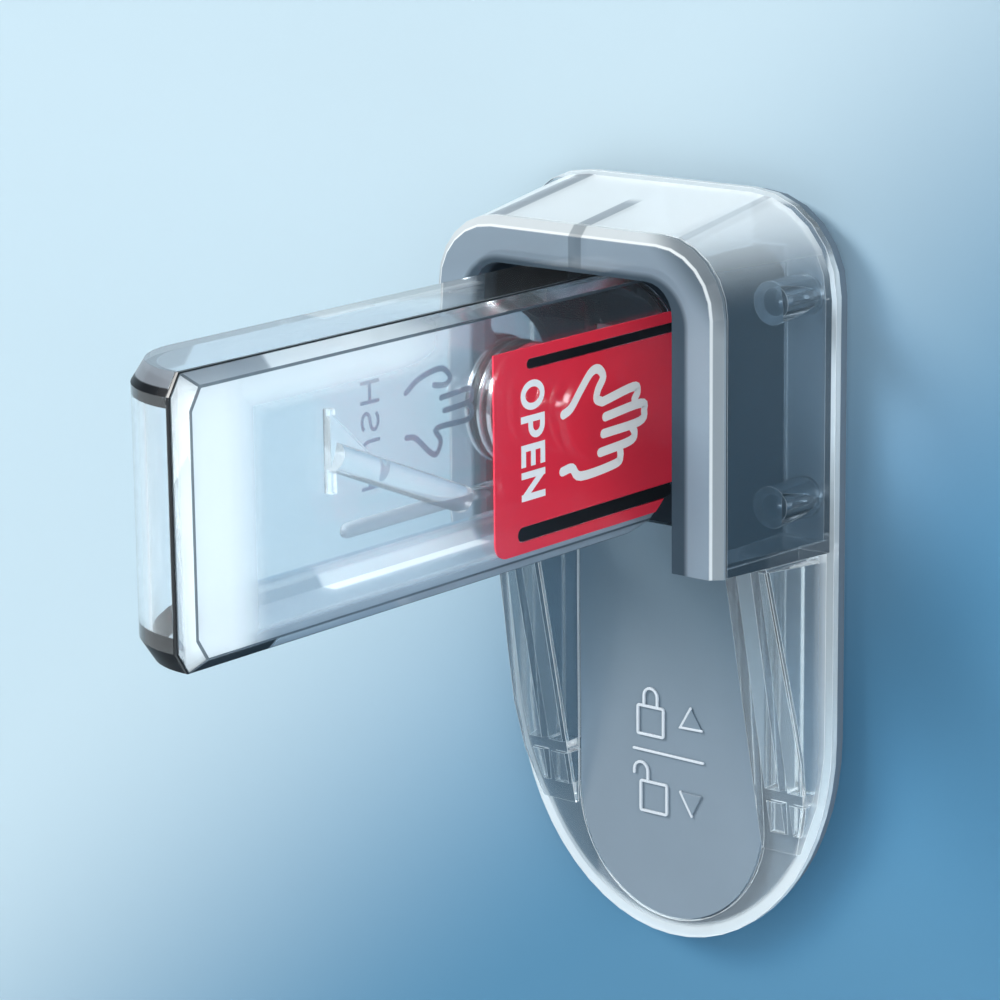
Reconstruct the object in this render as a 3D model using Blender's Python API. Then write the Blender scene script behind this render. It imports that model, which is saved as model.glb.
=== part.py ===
"""Child-safety lock for a lever door handle.

A clear arm stands out from the door, close under the lever, and keeps the lever from being
pressed down. To open the door the arm is pushed sideways along its pivot bolt, against a coil
spring, and swung down into the channel of the base.

Metres, +Z up. The door is the plane Y = 0, the room is on the side of negative Y, and the
origin is the middle of the adhesive pad's face on the door. "Depth" is the distance from the door.
"""
import math

import bmesh
import bpy

MM = 0.001

# Driving dimensions, in millimetres.

# Running and seating clearances
SEAT_GAP = 0.3
BORE_CLEARANCE = 0.1
SCREW_CLEARANCE = 0.3
FOLD_CLEARANCE = 0.6
MOUTH_CLEARANCE = 0.8
REAR_CLEARANCE = 0.3
LABEL_GAP = 0.05

# Base outline: straight sides, rounded top corners, and a half ellipse at the bottom
PLATE_HALF_WIDTH = 27.0
PLATE_HALF_HEIGHT = 53.3
PLATE_TOP_RADIUS = 13.5
PLATE_LOWER_RISE = 33.0

# Layers on the door
PAD_THICK = 1.0
PAD_INSET = 1.5
BACK_THICK = 1.8
BACK_INSET = 0.5
FLOOR_THICK = 1.2

# Arm
ARM_SIDE_GAP = 3.4
ARM_WIDTH = 15.9
ARM_RISE = 18.5
ARM_DROP = 17.6
ARM_REACH = 79.3
ARM_WALL = 1.6
ARM_BEVEL = 1.7
ARM_BEVEL_HEIGHT = 2.7
REAR_BEVEL = 0.3
NOSE_DEPTH = 13.6
COVER_THICK = 1.7
SEAL_THICK = 0.4
SEAL_WIDTH = 0.6
SEAL_GAP = 0.12

# Pivot and the coil spring on it
PIVOT_BELOW_TOP = 28.8
PIVOT_COVER = 3.2
PUSH_TRAVEL = 6.0
SHANK_RADIUS = 2.5
THREAD_RADIUS = 2.0
BOLT_HEAD_RADIUS = 6.2
BOLT_HEAD_THICK = 1.6
BOLT_HEAD_CHAMFER = 0.4
BLOCK_OUT = 3.6
BLOCK_HALF_HEIGHT = 5.2
BLOCK_BEHIND = 6.0
BLOCK_END_WALL = 0.6
GRUB_RADIUS = 1.25
BUSH_WALL = 1.0
BUSH_FLANGE_THICK = 0.8
SPRING_RADIUS = 5.4
SPRING_WIRE = 0.95
SPRING_TURNS = 5
SPRING_POINTS_PER_TURN = 10
CUP_WALL = 0.6
CUP_FLOOR = 1.0
CUP_LIP_RADIUS = 8.4
CUP_LIP_THICK = 0.8
CUP_CHAMFER = 0.5
SPRING_POCKET_CLEARANCE = 0.5

# Lock peg on the arm and the arc slot that guides it
PEG_RADIUS = 1.5
PEG_ORBIT = 10.7
PEG_TIP_INSET = 0.7
PEG_ROOT = 1.6
PEG_BOSS_WALL = 1.6
PEG_SLOT_CLEARANCE = 0.4
SWING_DEGREES = 90.0

# Stiffening on the inside of the arm's left wall, placed from the pivot
STRUT_RADIUS = 1.9
STRUT_AHEAD = (39.6, 14.8)
STRUT_ABOVE = (0.1, -10.1)
GUSSET_AHEAD = 28.5
GUSSET_ABOVE = 5.7
GUSSET_THICK = 1.2
STRUT_RIB_THICK = 1.0
STRUT_RIB_BELOW = 4.7
RAIL_AHEAD_START = 6.5
RAIL_AHEAD_END = 37.4
RAIL_BELOW = 10.2
RAIL_RADIUS = 1.0

# Red label on the arm's right face
LABEL_THICK = 0.25
LABEL_FRONT = 23.2
LABEL_ABOVE = 11.8
LABEL_BELOW = 15.0
LABEL_EDGE = 0.35
LABEL_SLOT_ABOVE = 9.6
LABEL_SLOT_ABOVE_FRONT = 16.6
LABEL_SLOT_ABOVE_HEIGHT = 1.4
LABEL_SLOT_BELOW = 12.5
LABEL_SLOT_BELOW_FRONT = 18.7
LABEL_SLOT_BELOW_HEIGHT = 2.0
LABEL_CORNER = 2.2

# Mouth frame and hood
MOUTH_MARGIN = 10.7
MOUTH_RADIUS = 4.2
WINDOW_MARGIN = 1.2
WINDOW_SIDE = 2.7
LINER_WALL = 1.6
HOOD_BELOW_PIVOT = 18.6
BEZEL_SIDE = 5.9
BEZEL_TOP = 4.6
BEZEL_THICK = 1.8
BEZEL_EDGE = 0.5
BEZEL_CHAMFER = 1.4
BEZEL_RADIUS = 8.6
HOOD_WALL = 1.6
HOOD_INSET = 0.5
HOOD_FRONT_RADIUS = 10.0
HOOD_RIB_MARGIN = 13.0
HOOD_RIB_THICK = 1.2

# Fold-down channel and the hollow side rails that flank it
CHANNEL_MARGIN = 11.1
CHANNEL_BOTTOM_MARGIN = 2.3
CHANNEL_ROUND_RISE = 17.0
RAIL_STEP = 0.2
RAIL_TOP_DEPTH = 14.6
RAIL_FOOT_DEPTH = 5.3
RAIL_FOOT_MARGIN = 16.3
RAIL_MARGIN = 1.2
RAIL_DRAFT = 0.28
RAIL_WALL = 1.3
RAIL_WEB_MARGIN = 6.5
RAIL_CROSSBAR_RISE = 8.2
RAIL_CROSSBAR_HEIGHT = 1.8
RAIL_STATIONS = 7

# Screws, driven from behind
SCREW_RADIUS = 1.4
SCREW_HEAD_RADIUS = 2.8
SCREW_HEAD_DEPTH = 1.4
SCREW_BOSS_WALL = 1.1
HOUSING_SCREW_LENGTH = 8.0
HOUSING_SCREW_MARGIN = 5.1
HOUSING_SCREW_ABOVE = 15.5
HOUSING_SCREW_BELOW = 11.5
FRAME_SCREW_LENGTH = 3.6
FRAME_SCREW_CORNER = 3.0

# Facets of round shapes
ROUND_STEPS = 24
CORNER_STEPS = 6
ELLIPSE_STEPS = 28

# Values that follow from the driving dimensions.
PIVOT_Z = PLATE_HALF_HEIGHT - PIVOT_BELOW_TOP
MOUTH_HALF_WIDTH = PLATE_HALF_WIDTH - MOUTH_MARGIN
CHANNEL_HALF_WIDTH = PLATE_HALF_WIDTH - CHANNEL_MARGIN
HOOD_BOTTOM = PIVOT_Z - HOOD_BELOW_PIVOT
HOOD_RIB_PITCH = PLATE_HALF_WIDTH - HOOD_RIB_MARGIN

BACK_REAR = PAD_THICK + SEAT_GAP
BACK_FRONT = BACK_REAR + BACK_THICK
FLOOR_REAR = BACK_FRONT + SEAT_GAP
FLOOR_FRONT = FLOOR_REAR + FLOOR_THICK
HOOD_REAR = FLOOR_FRONT + SEAT_GAP
PIVOT_DEPTH = FLOOR_FRONT + FOLD_CLEARANCE + ARM_DROP
FRONT_DEPTH = PIVOT_DEPTH + PIVOT_COVER
BEZEL_REAR = FRONT_DEPTH - BEZEL_THICK
HOOD_FRONT = BEZEL_REAR - SEAT_GAP

ARM_LEFT = ARM_SIDE_GAP - MOUTH_HALF_WIDTH
ARM_RIGHT = ARM_LEFT + ARM_WIDTH
COVER_INNER = ARM_RIGHT - COVER_THICK
SEAL_RIGHT = COVER_INNER - SEAL_GAP
SEAL_LEFT = SEAL_RIGHT - SEAL_THICK
SHELL_RIGHT = SEAL_LEFT - SEAL_GAP
SHELL_WIDTH = SHELL_RIGHT - ARM_LEFT
NOSE_DEPTH_FROM_DOOR = PIVOT_DEPTH + ARM_REACH

MOUTH_TOP = PIVOT_Z + ARM_RISE + MOUTH_CLEARANCE
LINER_HALF_WIDTH = MOUTH_HALF_WIDTH + LINER_WALL
LINER_TOP = MOUTH_TOP + LINER_WALL
LINER_RADIUS = MOUTH_RADIUS + LINER_WALL
BEZEL_HALF_WIDTH = MOUTH_HALF_WIDTH + BEZEL_SIDE
BEZEL_TOP_Z = MOUTH_TOP + BEZEL_TOP

REAR_REACH = min(PIVOT_DEPTH - BACK_FRONT, ARM_RISE + MOUTH_CLEARANCE) - REAR_CLEARANCE
TOP_REACH = ARM_RISE + MOUTH_CLEARANCE / 2

CUP_FACE = -MOUTH_HALF_WIDTH + SEAT_GAP
POCKET_FLOOR = CUP_FACE + CUP_FLOOR
POCKET_RADIUS = SPRING_RADIUS + SPRING_WIRE / 2 + SPRING_POCKET_CLEARANCE
CUP_RADIUS = POCKET_RADIUS + CUP_WALL
CUP_LIP_LEFT = ARM_LEFT + ARM_WALL + BORE_CLEARANCE
BUSH_BORE = SHANK_RADIUS + BORE_CLEARANCE
BUSH_RADIUS = BUSH_BORE + BUSH_WALL
BUSH_FLANGE_LEFT = POCKET_FLOOR + BORE_CLEARANCE
BUSH_FLANGE_RIGHT = BUSH_FLANGE_LEFT + BUSH_FLANGE_THICK
BUSH_FLANGE_RADIUS = POCKET_RADIUS - BORE_CLEARANCE
BOLT_HEAD_RIGHT = COVER_INNER - SEAT_GAP
BOLT_HEAD_LEFT = BOLT_HEAD_RIGHT - BOLT_HEAD_THICK
BLOCK_LEFT = -LINER_HALF_WIDTH - BLOCK_OUT
BLOCK_REAR = PIVOT_DEPTH - BLOCK_BEHIND
BOLT_LEFT = BLOCK_LEFT + BLOCK_END_WALL + SEAT_GAP
GRUB_X = (BOLT_LEFT - LINER_HALF_WIDTH) / 2

PLATE_LOWER_Z = PLATE_LOWER_RISE - PLATE_HALF_HEIGHT
CHANNEL_BOTTOM = CHANNEL_BOTTOM_MARGIN - PLATE_HALF_HEIGHT
RAIL_INNER_X = CHANNEL_HALF_WIDTH + RAIL_STEP
RAIL_TOP_Z = HOOD_BOTTOM - SEAT_GAP
RAIL_FOOT_Z = RAIL_FOOT_MARGIN - PLATE_HALF_HEIGHT
RAIL_WEB_X = PLATE_HALF_WIDTH - RAIL_WEB_MARGIN
RAIL_CROSSBAR_Z = RAIL_FOOT_Z + RAIL_CROSSBAR_RISE
HOUSING_SCREW_X = PLATE_HALF_WIDTH - HOUSING_SCREW_MARGIN
HOUSING_SCREW_Z = (PIVOT_Z - HOUSING_SCREW_BELOW, PIVOT_Z + HOUSING_SCREW_ABOVE)
HOUSING_SCREWS = [(side * HOUSING_SCREW_X, z) for side in (-1, 1) for z in HOUSING_SCREW_Z]
FRAME_SCREW_X = MOUTH_HALF_WIDTH - FRAME_SCREW_CORNER
FRAME_SCREW_Z = MOUTH_TOP - FRAME_SCREW_CORNER
FRAME_SCREWS = [(side * FRAME_SCREW_X, FRAME_SCREW_Z) for side in (-1, 1)]

ORIGIN = (0.0, 0.0, 0.0)
PIVOT = (0.0, -PIVOT_DEPTH, PIVOT_Z)


def clear_scene():
    for obj in list(bpy.data.objects):
        bpy.data.objects.remove(obj, do_unlink=True)


def make_material(name, color, roughness, metallic=0.0, alpha=1.0):
    material = bpy.data.materials.new(name)
    material.use_nodes = True
    shader = material.node_tree.nodes["Principled BSDF"]
    shader.inputs["Base Color"].default_value = (*color, 1.0)
    shader.inputs["Roughness"].default_value = roughness
    shader.inputs["Metallic"].default_value = metallic
    shader.inputs["Alpha"].default_value = alpha
    return material


def make_frame(name, place):
    """An empty that carries the pieces of one rigid body."""
    empty = bpy.data.objects.new(name, None)
    empty.location = [value * MM for value in place]
    bpy.context.collection.objects.link(empty)
    return empty


# Outlines and shapes. A shape is a pair: its points, in millimetres, and its faces.

def arc(cx, cy, rx, ry, start, end, steps):
    """Points on an ellipse, from one angle to another in degrees."""
    points = []
    for k in range(steps + 1):
        angle = math.radians(start + (end - start) * k / steps)
        points.append((cx + rx * math.cos(angle), cy + ry * math.sin(angle)))
    return points


def plate_loop(inset):
    half = PLATE_HALF_WIDTH - inset
    radius = PLATE_TOP_RADIUS - inset
    top = PLATE_HALF_HEIGHT - inset
    loop = arc(0, PLATE_LOWER_Z, half, PLATE_LOWER_RISE - inset, 180, 360, ELLIPSE_STEPS)
    loop += arc(half - radius, top - radius, radius, radius, 0, 90, CORNER_STEPS)
    loop += arc(radius - half, top - radius, radius, radius, 90, 180, CORNER_STEPS)
    return loop


def plate_half_width(z):
    """Half the plate's width at one height."""
    if z >= PLATE_LOWER_Z:
        return PLATE_HALF_WIDTH
    share = (z - PLATE_LOWER_Z) / PLATE_LOWER_RISE
    return PLATE_HALF_WIDTH * math.sqrt(1.0 - share * share)


def arch_loop(half, bottom, top, radius):
    loop = [(half, bottom)]
    loop += arc(half - radius, top - radius, radius, radius, 0, 90, CORNER_STEPS)
    loop += arc(radius - half, top - radius, radius, radius, 90, 180, CORNER_STEPS)
    loop.append((-half, bottom))
    return loop


def hood_loop(half, top, radius):
    """A wall that goes round the mouth frame and turns in under its legs."""
    wall = HOOD_WALL
    foot = LINER_HALF_WIDTH + SEAT_GAP
    outer = arch_loop(half, HOOD_BOTTOM, top, radius)
    inner = arch_loop(half - wall, HOOD_BOTTOM + wall, top - wall, radius - wall)
    turned_in = [(-foot, HOOD_BOTTOM), (-foot, HOOD_BOTTOM + wall)]
    turned_out = [(foot, HOOD_BOTTOM + wall), (foot, HOOD_BOTTOM)]
    return outer + turned_in + inner[::-1] + turned_out


def channel_loop(inset, top):
    """The fold-down channel's floor, round at the bottom."""
    half = CHANNEL_HALF_WIDTH - inset
    centre = CHANNEL_BOTTOM + CHANNEL_ROUND_RISE
    loop = arc(0, centre, half, CHANNEL_ROUND_RISE - inset, 180, 360, ELLIPSE_STEPS)
    return loop + [(half, top), (-half, top)]


def side_loop(inset, rear_inset):
    """The arm's outline seen from its side, as depth and height: bevelled nose and round rear end."""
    top = ARM_RISE - inset
    drop = ARM_DROP - inset
    front = NOSE_DEPTH_FROM_DOOR - inset
    behind = front - ARM_BEVEL
    upper = [(front, PIVOT_Z + top - ARM_BEVEL_HEIGHT), (behind, PIVOT_Z + top)]
    lower = [(behind, PIVOT_Z - drop), (front, PIVOT_Z - drop + ARM_BEVEL_HEIGHT)]
    return upper + rear_curve(rear_inset, top, drop) + lower


def rear_curve(inset, top, drop):
    """The arm's round rear end between two heights from the pivot, as depth and height."""
    rear = REAR_REACH - inset
    crown = TOP_REACH - inset
    high = math.degrees(math.asin(min(1.0, top / crown)))
    low = math.degrees(math.asin(min(1.0, drop / rear)))
    quarter = ELLIPSE_STEPS // 2
    upper = arc(PIVOT_DEPTH, PIVOT_Z, rear, crown, 180 - high, 180, quarter)
    return upper + arc(PIVOT_DEPTH, PIVOT_Z, rear, rear, 180, 180 + low, quarter)[1:]


def at_depth(loop, depth):
    return [(x, -depth, z) for x, z in loop]


def at_x(loop, x):
    return [(x, -depth, z) for depth, z in loop]


def ring_about_x(x, radius, centre, steps=ROUND_STEPS):
    return [(x, -centre[0] + y, centre[1] + z) for y, z in arc(0, 0, radius, radius, 0, 360, steps)[:-1]]


def ring_about_depth(depth, radius, centre, steps=ROUND_STEPS):
    x0, z0 = centre
    return [(x, -depth, z) for x, z in arc(x0, z0, radius, radius, 0, 360, steps)[:-1]]


def loft(loops):
    """A closed solid through loops that all have the same number of points."""
    count = len(loops[0])
    points = [point for loop in loops for point in loop]
    faces = []
    for k in range(len(loops) - 1):
        for i in range(count):
            j = (i + 1) % count
            faces.append((k * count + i, k * count + j, (k + 1) * count + j, (k + 1) * count + i))
    last = (len(loops) - 1) * count
    faces.append(tuple(reversed(range(count))))
    faces.append(tuple(range(last, last + count)))
    return points, faces


def tube(outer_loops, inner_loops):
    """A closed ring: an outer wall out, and an inner wall back."""
    loops = outer_loops + inner_loops[::-1]
    count = len(loops[0])
    points = [point for loop in loops for point in loop]
    faces = []
    for k in range(len(loops)):
        after = (k + 1) % len(loops)
        for i in range(count):
            j = (i + 1) % count
            faces.append((k * count + i, k * count + j, after * count + j, after * count + i))
    return points, faces


def rod(profile, centre=(PIVOT_DEPTH, PIVOT_Z), steps=ROUND_STEPS):
    """A turned solid about an axis along X, from pairs of place and radius."""
    return loft([ring_about_x(x, radius, centre, steps) for x, radius in profile])


def plug(profile, centre, steps=ROUND_STEPS):
    """A turned solid about an axis along the depth, from pairs of depth and radius."""
    return loft([ring_about_depth(depth, radius, centre, steps) for depth, radius in profile])


def slab(x_range, depth_range, z_range):
    """A rectangular block."""
    (x0, x1), (d0, d1), (z0, z1) = x_range, depth_range, z_range
    loop = [(x0, z0), (x1, z0), (x1, z1), (x0, z1)]
    return loft([at_depth(loop, d0), at_depth(loop, d1)])


def gather(shapes):
    """Several shapes in one mesh."""
    points = []
    faces = []
    for more_points, more_faces in shapes:
        start = len(points)
        points += more_points
        faces += [tuple(start + index for index in face) for face in more_faces]
    return points, faces


# Objects

def add(name, shape, material, frame, origin, smooth_angle=30.0):
    """A named object on its body's frame, with its points counted from that frame's place."""
    points, faces = shape
    mesh = bpy.data.meshes.new(name)
    mesh.from_pydata([[(v - o) * MM for v, o in zip(p, origin)] for p in points], [], faces)
    shaping = bmesh.new()
    shaping.from_mesh(mesh)
    bmesh.ops.recalc_face_normals(shaping, faces=shaping.faces)
    shaping.to_mesh(mesh)
    shaping.free()
    mesh.shade_smooth()
    mesh.set_sharp_from_angle(angle=math.radians(smooth_angle))
    obj = bpy.data.objects.new(name, mesh)
    if material:
        mesh.materials.append(material)
    bpy.context.collection.objects.link(obj)
    obj.parent = frame
    return obj


def shape_with(obj, operation, name, shape, origin):
    """Add to an object, or cut from it, with a hidden helper."""
    helper = add(name, shape, None, obj.parent, origin)
    helper.hide_render = True
    helper.display_type = "WIRE"
    modifier = obj.modifiers.new(name, "BOOLEAN")
    modifier.operation = operation
    modifier.solver = "EXACT"
    modifier.object = helper


def join(obj, name, shapes, origin=ORIGIN):
    for number, shape in enumerate(shapes, 1):
        shape_with(obj, "UNION", f"{name}_{number}", shape, origin)


def cut(obj, name, shapes, origin=ORIGIN):
    shape_with(obj, "DIFFERENCE", name, gather(shapes), origin)


# Screws

def screw_hole(centre, depth_range):
    radius = SCREW_RADIUS + SCREW_CLEARANCE
    return plug([(depth_range[0], radius), (depth_range[1], radius)], centre)


def countersink(centre):
    """A screw's tapered seat in the back plate, open on both faces."""
    wide = SCREW_HEAD_RADIUS + SCREW_CLEARANCE
    narrow = SCREW_RADIUS + SCREW_CLEARANCE
    profile = [(BACK_REAR - PAD_THICK / 2, wide), (BACK_REAR + SEAT_GAP, wide)]
    profile += [(BACK_REAR + SEAT_GAP + SCREW_HEAD_DEPTH, narrow), (FLOOR_REAR, narrow)]
    return plug(profile, centre)


def screw_shape(centre, length):
    head_rear = BACK_REAR + SEAT_GAP
    tip = FLOOR_REAR + length
    profile = [(head_rear, SCREW_HEAD_RADIUS), (head_rear + SCREW_HEAD_DEPTH, SCREW_RADIUS)]
    profile += [(tip - SCREW_RADIUS, SCREW_RADIUS), (tip, SCREW_RADIUS / 3)]
    return plug(profile, centre, ROUND_STEPS // 2)


def boss_radius():
    return SCREW_RADIUS + SCREW_CLEARANCE + SCREW_BOSS_WALL


def make_screws(steel, frame):
    for number, centre in enumerate(HOUSING_SCREWS, 1):
        add(f"housing_screw_{number}", screw_shape(centre, HOUSING_SCREW_LENGTH), steel, frame, ORIGIN)
    for number, centre in enumerate(FRAME_SCREWS, 1):
        add(f"frame_screw_{number}", screw_shape(centre, FRAME_SCREW_LENGTH), steel, frame, ORIGIN)


# Pieces that stay on the door

def make_adhesive_pad(foam, frame):
    loop = plate_loop(PAD_INSET)
    add("adhesive_pad", loft([at_depth(loop, 0), at_depth(loop, PAD_THICK)]), foam, frame, ORIGIN)


def make_back_plate(smoke, frame):
    loop = plate_loop(BACK_INSET)
    shape = loft([at_depth(loop, BACK_REAR), at_depth(loop, BACK_FRONT)])
    plate = add("back_plate", shape, smoke, frame, ORIGIN)
    cut(plate, "back_plate_seats", [countersink(c) for c in HOUSING_SCREWS + FRAME_SCREWS])


def rail_top_depth(z):
    share = (RAIL_TOP_Z - z) / (RAIL_TOP_Z - RAIL_FOOT_Z)
    return RAIL_TOP_DEPTH + (RAIL_FOOT_DEPTH - RAIL_TOP_DEPTH) * share


def rail_outer_x(z, depth):
    return plate_half_width(z) - RAIL_MARGIN - RAIL_DRAFT * (depth - FLOOR_FRONT)


def rail_shape(side, z_range, rear, x_range, wall):
    """A wedge along the channel. x_range gives its two sides, with None for the rail's own sides."""
    loops = []
    for k in range(RAIL_STATIONS):
        z = z_range[0] + (z_range[1] - z_range[0]) * k / (RAIL_STATIONS - 1)
        front = rail_top_depth(z) - wall
        near = RAIL_INNER_X + wall if x_range[0] is None else x_range[0]
        far_rear = rail_outer_x(z, rear) - wall if x_range[1] is None else x_range[1]
        far_front = rail_outer_x(z, front) - wall if x_range[1] is None else x_range[1]
        corners = [(near, rear), (far_rear, rear), (far_front, front), (near, front)]
        loops.append([(side * x, -depth, z) for x, depth in corners])
    return loft(loops)


def rail_hollows(side):
    """Four pockets in a rail, open to the door, with a web and a crossbar left between them."""
    half_web = RAIL_WALL / 2
    half_bar = RAIL_CROSSBAR_HEIGHT / 2
    columns = [(None, RAIL_WEB_X - half_web), (RAIL_WEB_X + half_web, None)]
    upper = (RAIL_TOP_Z - RAIL_WALL, RAIL_CROSSBAR_Z + half_bar)
    lower = (RAIL_CROSSBAR_Z - half_bar, RAIL_FOOT_Z + RAIL_WALL * 2)
    pockets = [(rows, column) for rows in (upper, lower) for column in columns]
    return [rail_shape(side, rows, BACK_FRONT, column, RAIL_WALL) for rows, column in pockets]


def make_base_frame(clear, frame):
    loop = plate_loop(0)
    shape = loft([at_depth(loop, FLOOR_REAR), at_depth(loop, FLOOR_FRONT)])
    obj = add("base_frame", shape, clear, frame, ORIGIN)
    middle = (FLOOR_REAR + FLOOR_FRONT) / 2
    rails = [rail_shape(side, (RAIL_TOP_Z, RAIL_FOOT_Z), middle, (None, None), 0) for side in (-1, 1)]
    join(obj, "base_frame_rail", rails)
    half = LINER_HALF_WIDTH + SEAT_GAP
    top = LINER_TOP + SEAT_GAP
    opening = channel_loop(0, RAIL_TOP_Z)[:-1]
    opening += [(half, RAIL_TOP_Z), (half, top), (-half, top), (-half, RAIL_TOP_Z)]
    opening.append((-CHANNEL_HALF_WIDTH, RAIL_TOP_Z))
    cutters = [loft([at_depth(opening, BACK_FRONT), at_depth(opening, FLOOR_FRONT + FLOOR_THICK)])]
    cutters += [screw_hole(c, (BACK_FRONT, FLOOR_FRONT + FLOOR_THICK)) for c in HOUSING_SCREWS]
    cutters += rail_hollows(-1) + rail_hollows(1)
    cut(obj, "base_frame_cuts", cutters)


def make_channel_panel(grey, frame):
    loop = channel_loop(SEAT_GAP, RAIL_TOP_Z)
    shape = loft([at_depth(loop, FLOOR_REAR), at_depth(loop, FLOOR_FRONT)])
    add("channel_panel", shape, grey, frame, ORIGIN)


def make_mouth_frame(smoke, frame):
    """Liner of the mouth, with its back wall and the chamfered bezel in front."""
    liner = arch_loop(LINER_HALF_WIDTH, HOOD_BOTTOM, LINER_TOP, LINER_RADIUS)
    wide = arch_loop(BEZEL_HALF_WIDTH + BEZEL_CHAMFER, HOOD_BOTTOM, BEZEL_TOP_Z + BEZEL_CHAMFER,
                     BEZEL_RADIUS + BEZEL_CHAMFER)
    face = arch_loop(BEZEL_HALF_WIDTH, HOOD_BOTTOM, BEZEL_TOP_Z, BEZEL_RADIUS)
    bezel = [at_depth(wide, BEZEL_REAR), at_depth(wide, BEZEL_REAR + BEZEL_EDGE)]
    bezel.append(at_depth(face, FRONT_DEPTH))
    obj = add("mouth_frame", loft(bezel), smoke, frame, ORIGIN)
    into_bezel = BEZEL_REAR + BEZEL_THICK / 2
    solids = [loft([at_depth(liner, FLOOR_REAR), at_depth(liner, into_bezel)])]
    solids.append(slab((BLOCK_LEFT, -MOUTH_HALF_WIDTH - LINER_WALL / 2), (BLOCK_REAR, into_bezel),
                       (PIVOT_Z - BLOCK_HALF_HEIGHT, PIVOT_Z + BLOCK_HALF_HEIGHT)))
    join(obj, "mouth_liner", solids)
    mouth = arch_loop(MOUTH_HALF_WIDTH, HOOD_BOTTOM - MOUTH_RADIUS, MOUTH_TOP, MOUTH_RADIUS)
    cavity = loft([at_depth(mouth, FLOOR_FRONT), at_depth(mouth, FRONT_DEPTH + BEZEL_THICK)])
    cut(obj, "mouth_cavity", [cavity])
    middle = (FLOOR_REAR + FLOOR_FRONT) / 2
    hole_end = FLOOR_REAR + FRAME_SCREW_LENGTH + SCREW_CLEARANCE
    boss_end = hole_end + SCREW_BOSS_WALL
    bosses = [plug([(middle, boss_radius()), (boss_end, boss_radius())], c) for c in FRAME_SCREWS]
    join(obj, "mouth_boss", bosses)
    holes = [screw_hole(c, (BACK_FRONT, hole_end)) for c in FRAME_SCREWS]
    cut(obj, "mouth_holes", holes + [grub_hole(), peg_slot(), rear_window()])
    cut(obj, "bolt_hole", [bolt_hole()])


def bolt_hole():
    """A blind hole into the block on the outside of the left wall."""
    radius = THREAD_RADIUS + BORE_CLEARANCE
    return rod([(BLOCK_LEFT + BLOCK_END_WALL, radius), (-MOUTH_HALF_WIDTH + LINER_WALL, radius)])


def rear_window():
    """An opening in the back wall for the arm's rear end."""
    floor_reach = PIVOT_DEPTH - FLOOR_FRONT - FOLD_CLEARANCE
    half_height = math.sqrt(REAR_REACH ** 2 - floor_reach ** 2) + WINDOW_MARGIN
    half_width = MOUTH_HALF_WIDTH - WINDOW_SIDE
    heights = (PIVOT_Z - half_height, PIVOT_Z + half_height)
    return slab((-half_width, half_width), (BACK_FRONT, FLOOR_FRONT + FOLD_CLEARANCE), heights)


def grub_hole():
    radius = GRUB_RADIUS + BORE_CLEARANCE
    profile = [(BLOCK_REAR - BLOCK_BEHIND / 2, radius), (PIVOT_DEPTH - THREAD_RADIUS / 2, radius)]
    return plug(profile, (GRUB_X, PIVOT_Z))


def peg_slot():
    """An arc slot through the left wall, from behind the pivot to above it."""
    half = PEG_RADIUS + PEG_SLOT_CLEARANCE
    outer = arc(0, 0, PEG_ORBIT + half, PEG_ORBIT + half, 0, SWING_DEGREES, ROUND_STEPS // 2)
    inner = arc(0, 0, PEG_ORBIT - half, PEG_ORBIT - half, SWING_DEGREES, 0, ROUND_STEPS // 2)
    end = math.radians(SWING_DEGREES)
    far_centre = (PEG_ORBIT * math.cos(end), PEG_ORBIT * math.sin(end))
    far_end = arc(*far_centre, half, half, SWING_DEGREES, SWING_DEGREES + 180, CORNER_STEPS)[1:-1]
    near_end = arc(PEG_ORBIT, 0, half, half, 180, 360, CORNER_STEPS)[1:-1]
    loop = outer + far_end + inner + near_end
    loop = [(PIVOT_DEPTH - y, PIVOT_Z + z) for y, z in loop]
    return loft([at_x(loop, -LINER_HALF_WIDTH - LINER_WALL), at_x(loop, -MOUTH_HALF_WIDTH + LINER_WALL)])


def make_hood(clear, frame):
    rear_half = PLATE_HALF_WIDTH - HOOD_INSET
    rear_top = PLATE_HALF_HEIGHT - HOOD_INSET
    front_half = BEZEL_HALF_WIDTH + BEZEL_CHAMFER
    front_top = BEZEL_TOP_Z + BEZEL_CHAMFER
    rear = hood_loop(rear_half, rear_top, PLATE_TOP_RADIUS - HOOD_INSET)
    front = hood_loop(front_half, front_top, HOOD_FRONT_RADIUS)
    shape = loft([at_depth(rear, HOOD_REAR), at_depth(front, HOOD_FRONT)])
    obj = add("housing_hood", shape, clear, frame, ORIGIN)
    hole_end = FLOOR_REAR + HOUSING_SCREW_LENGTH + SCREW_CLEARANCE
    boss_end = hole_end + SCREW_BOSS_WALL
    profile = [(HOOD_REAR, boss_radius()), (boss_end, boss_radius())]
    join(obj, "hood_boss", [plug(profile, c) for c in HOUSING_SCREWS])
    join(obj, "hood_rib", [hood_rib(k * HOOD_RIB_PITCH, rear_top, front_top) for k in (-1, 0, 1)])
    cut(obj, "hood_holes", [screw_hole(c, (FLOOR_FRONT, hole_end)) for c in HOUSING_SCREWS])


def hood_rib(x, rear_top, front_top):
    """A web between the hood's roof and the liner's roof."""
    half = HOOD_RIB_THICK / 2
    into_wall = HOOD_WALL / 2
    low = LINER_TOP + SEAT_GAP
    rear = HOOD_REAR + HOOD_WALL
    front = HOOD_FRONT - HOOD_WALL
    slope = (front_top - rear_top) / (HOOD_FRONT - HOOD_REAR)
    side = [(rear, low), (front, low)]
    side += [(d, rear_top + slope * (d - HOOD_REAR) - into_wall) for d in (front, rear)]
    drop = roof_drop(abs(x) + half)
    side = side[:2] + [(d, z - drop) for d, z in side[2:]]
    return loft([at_x(side, x - half), at_x(side, x + half)])


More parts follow.
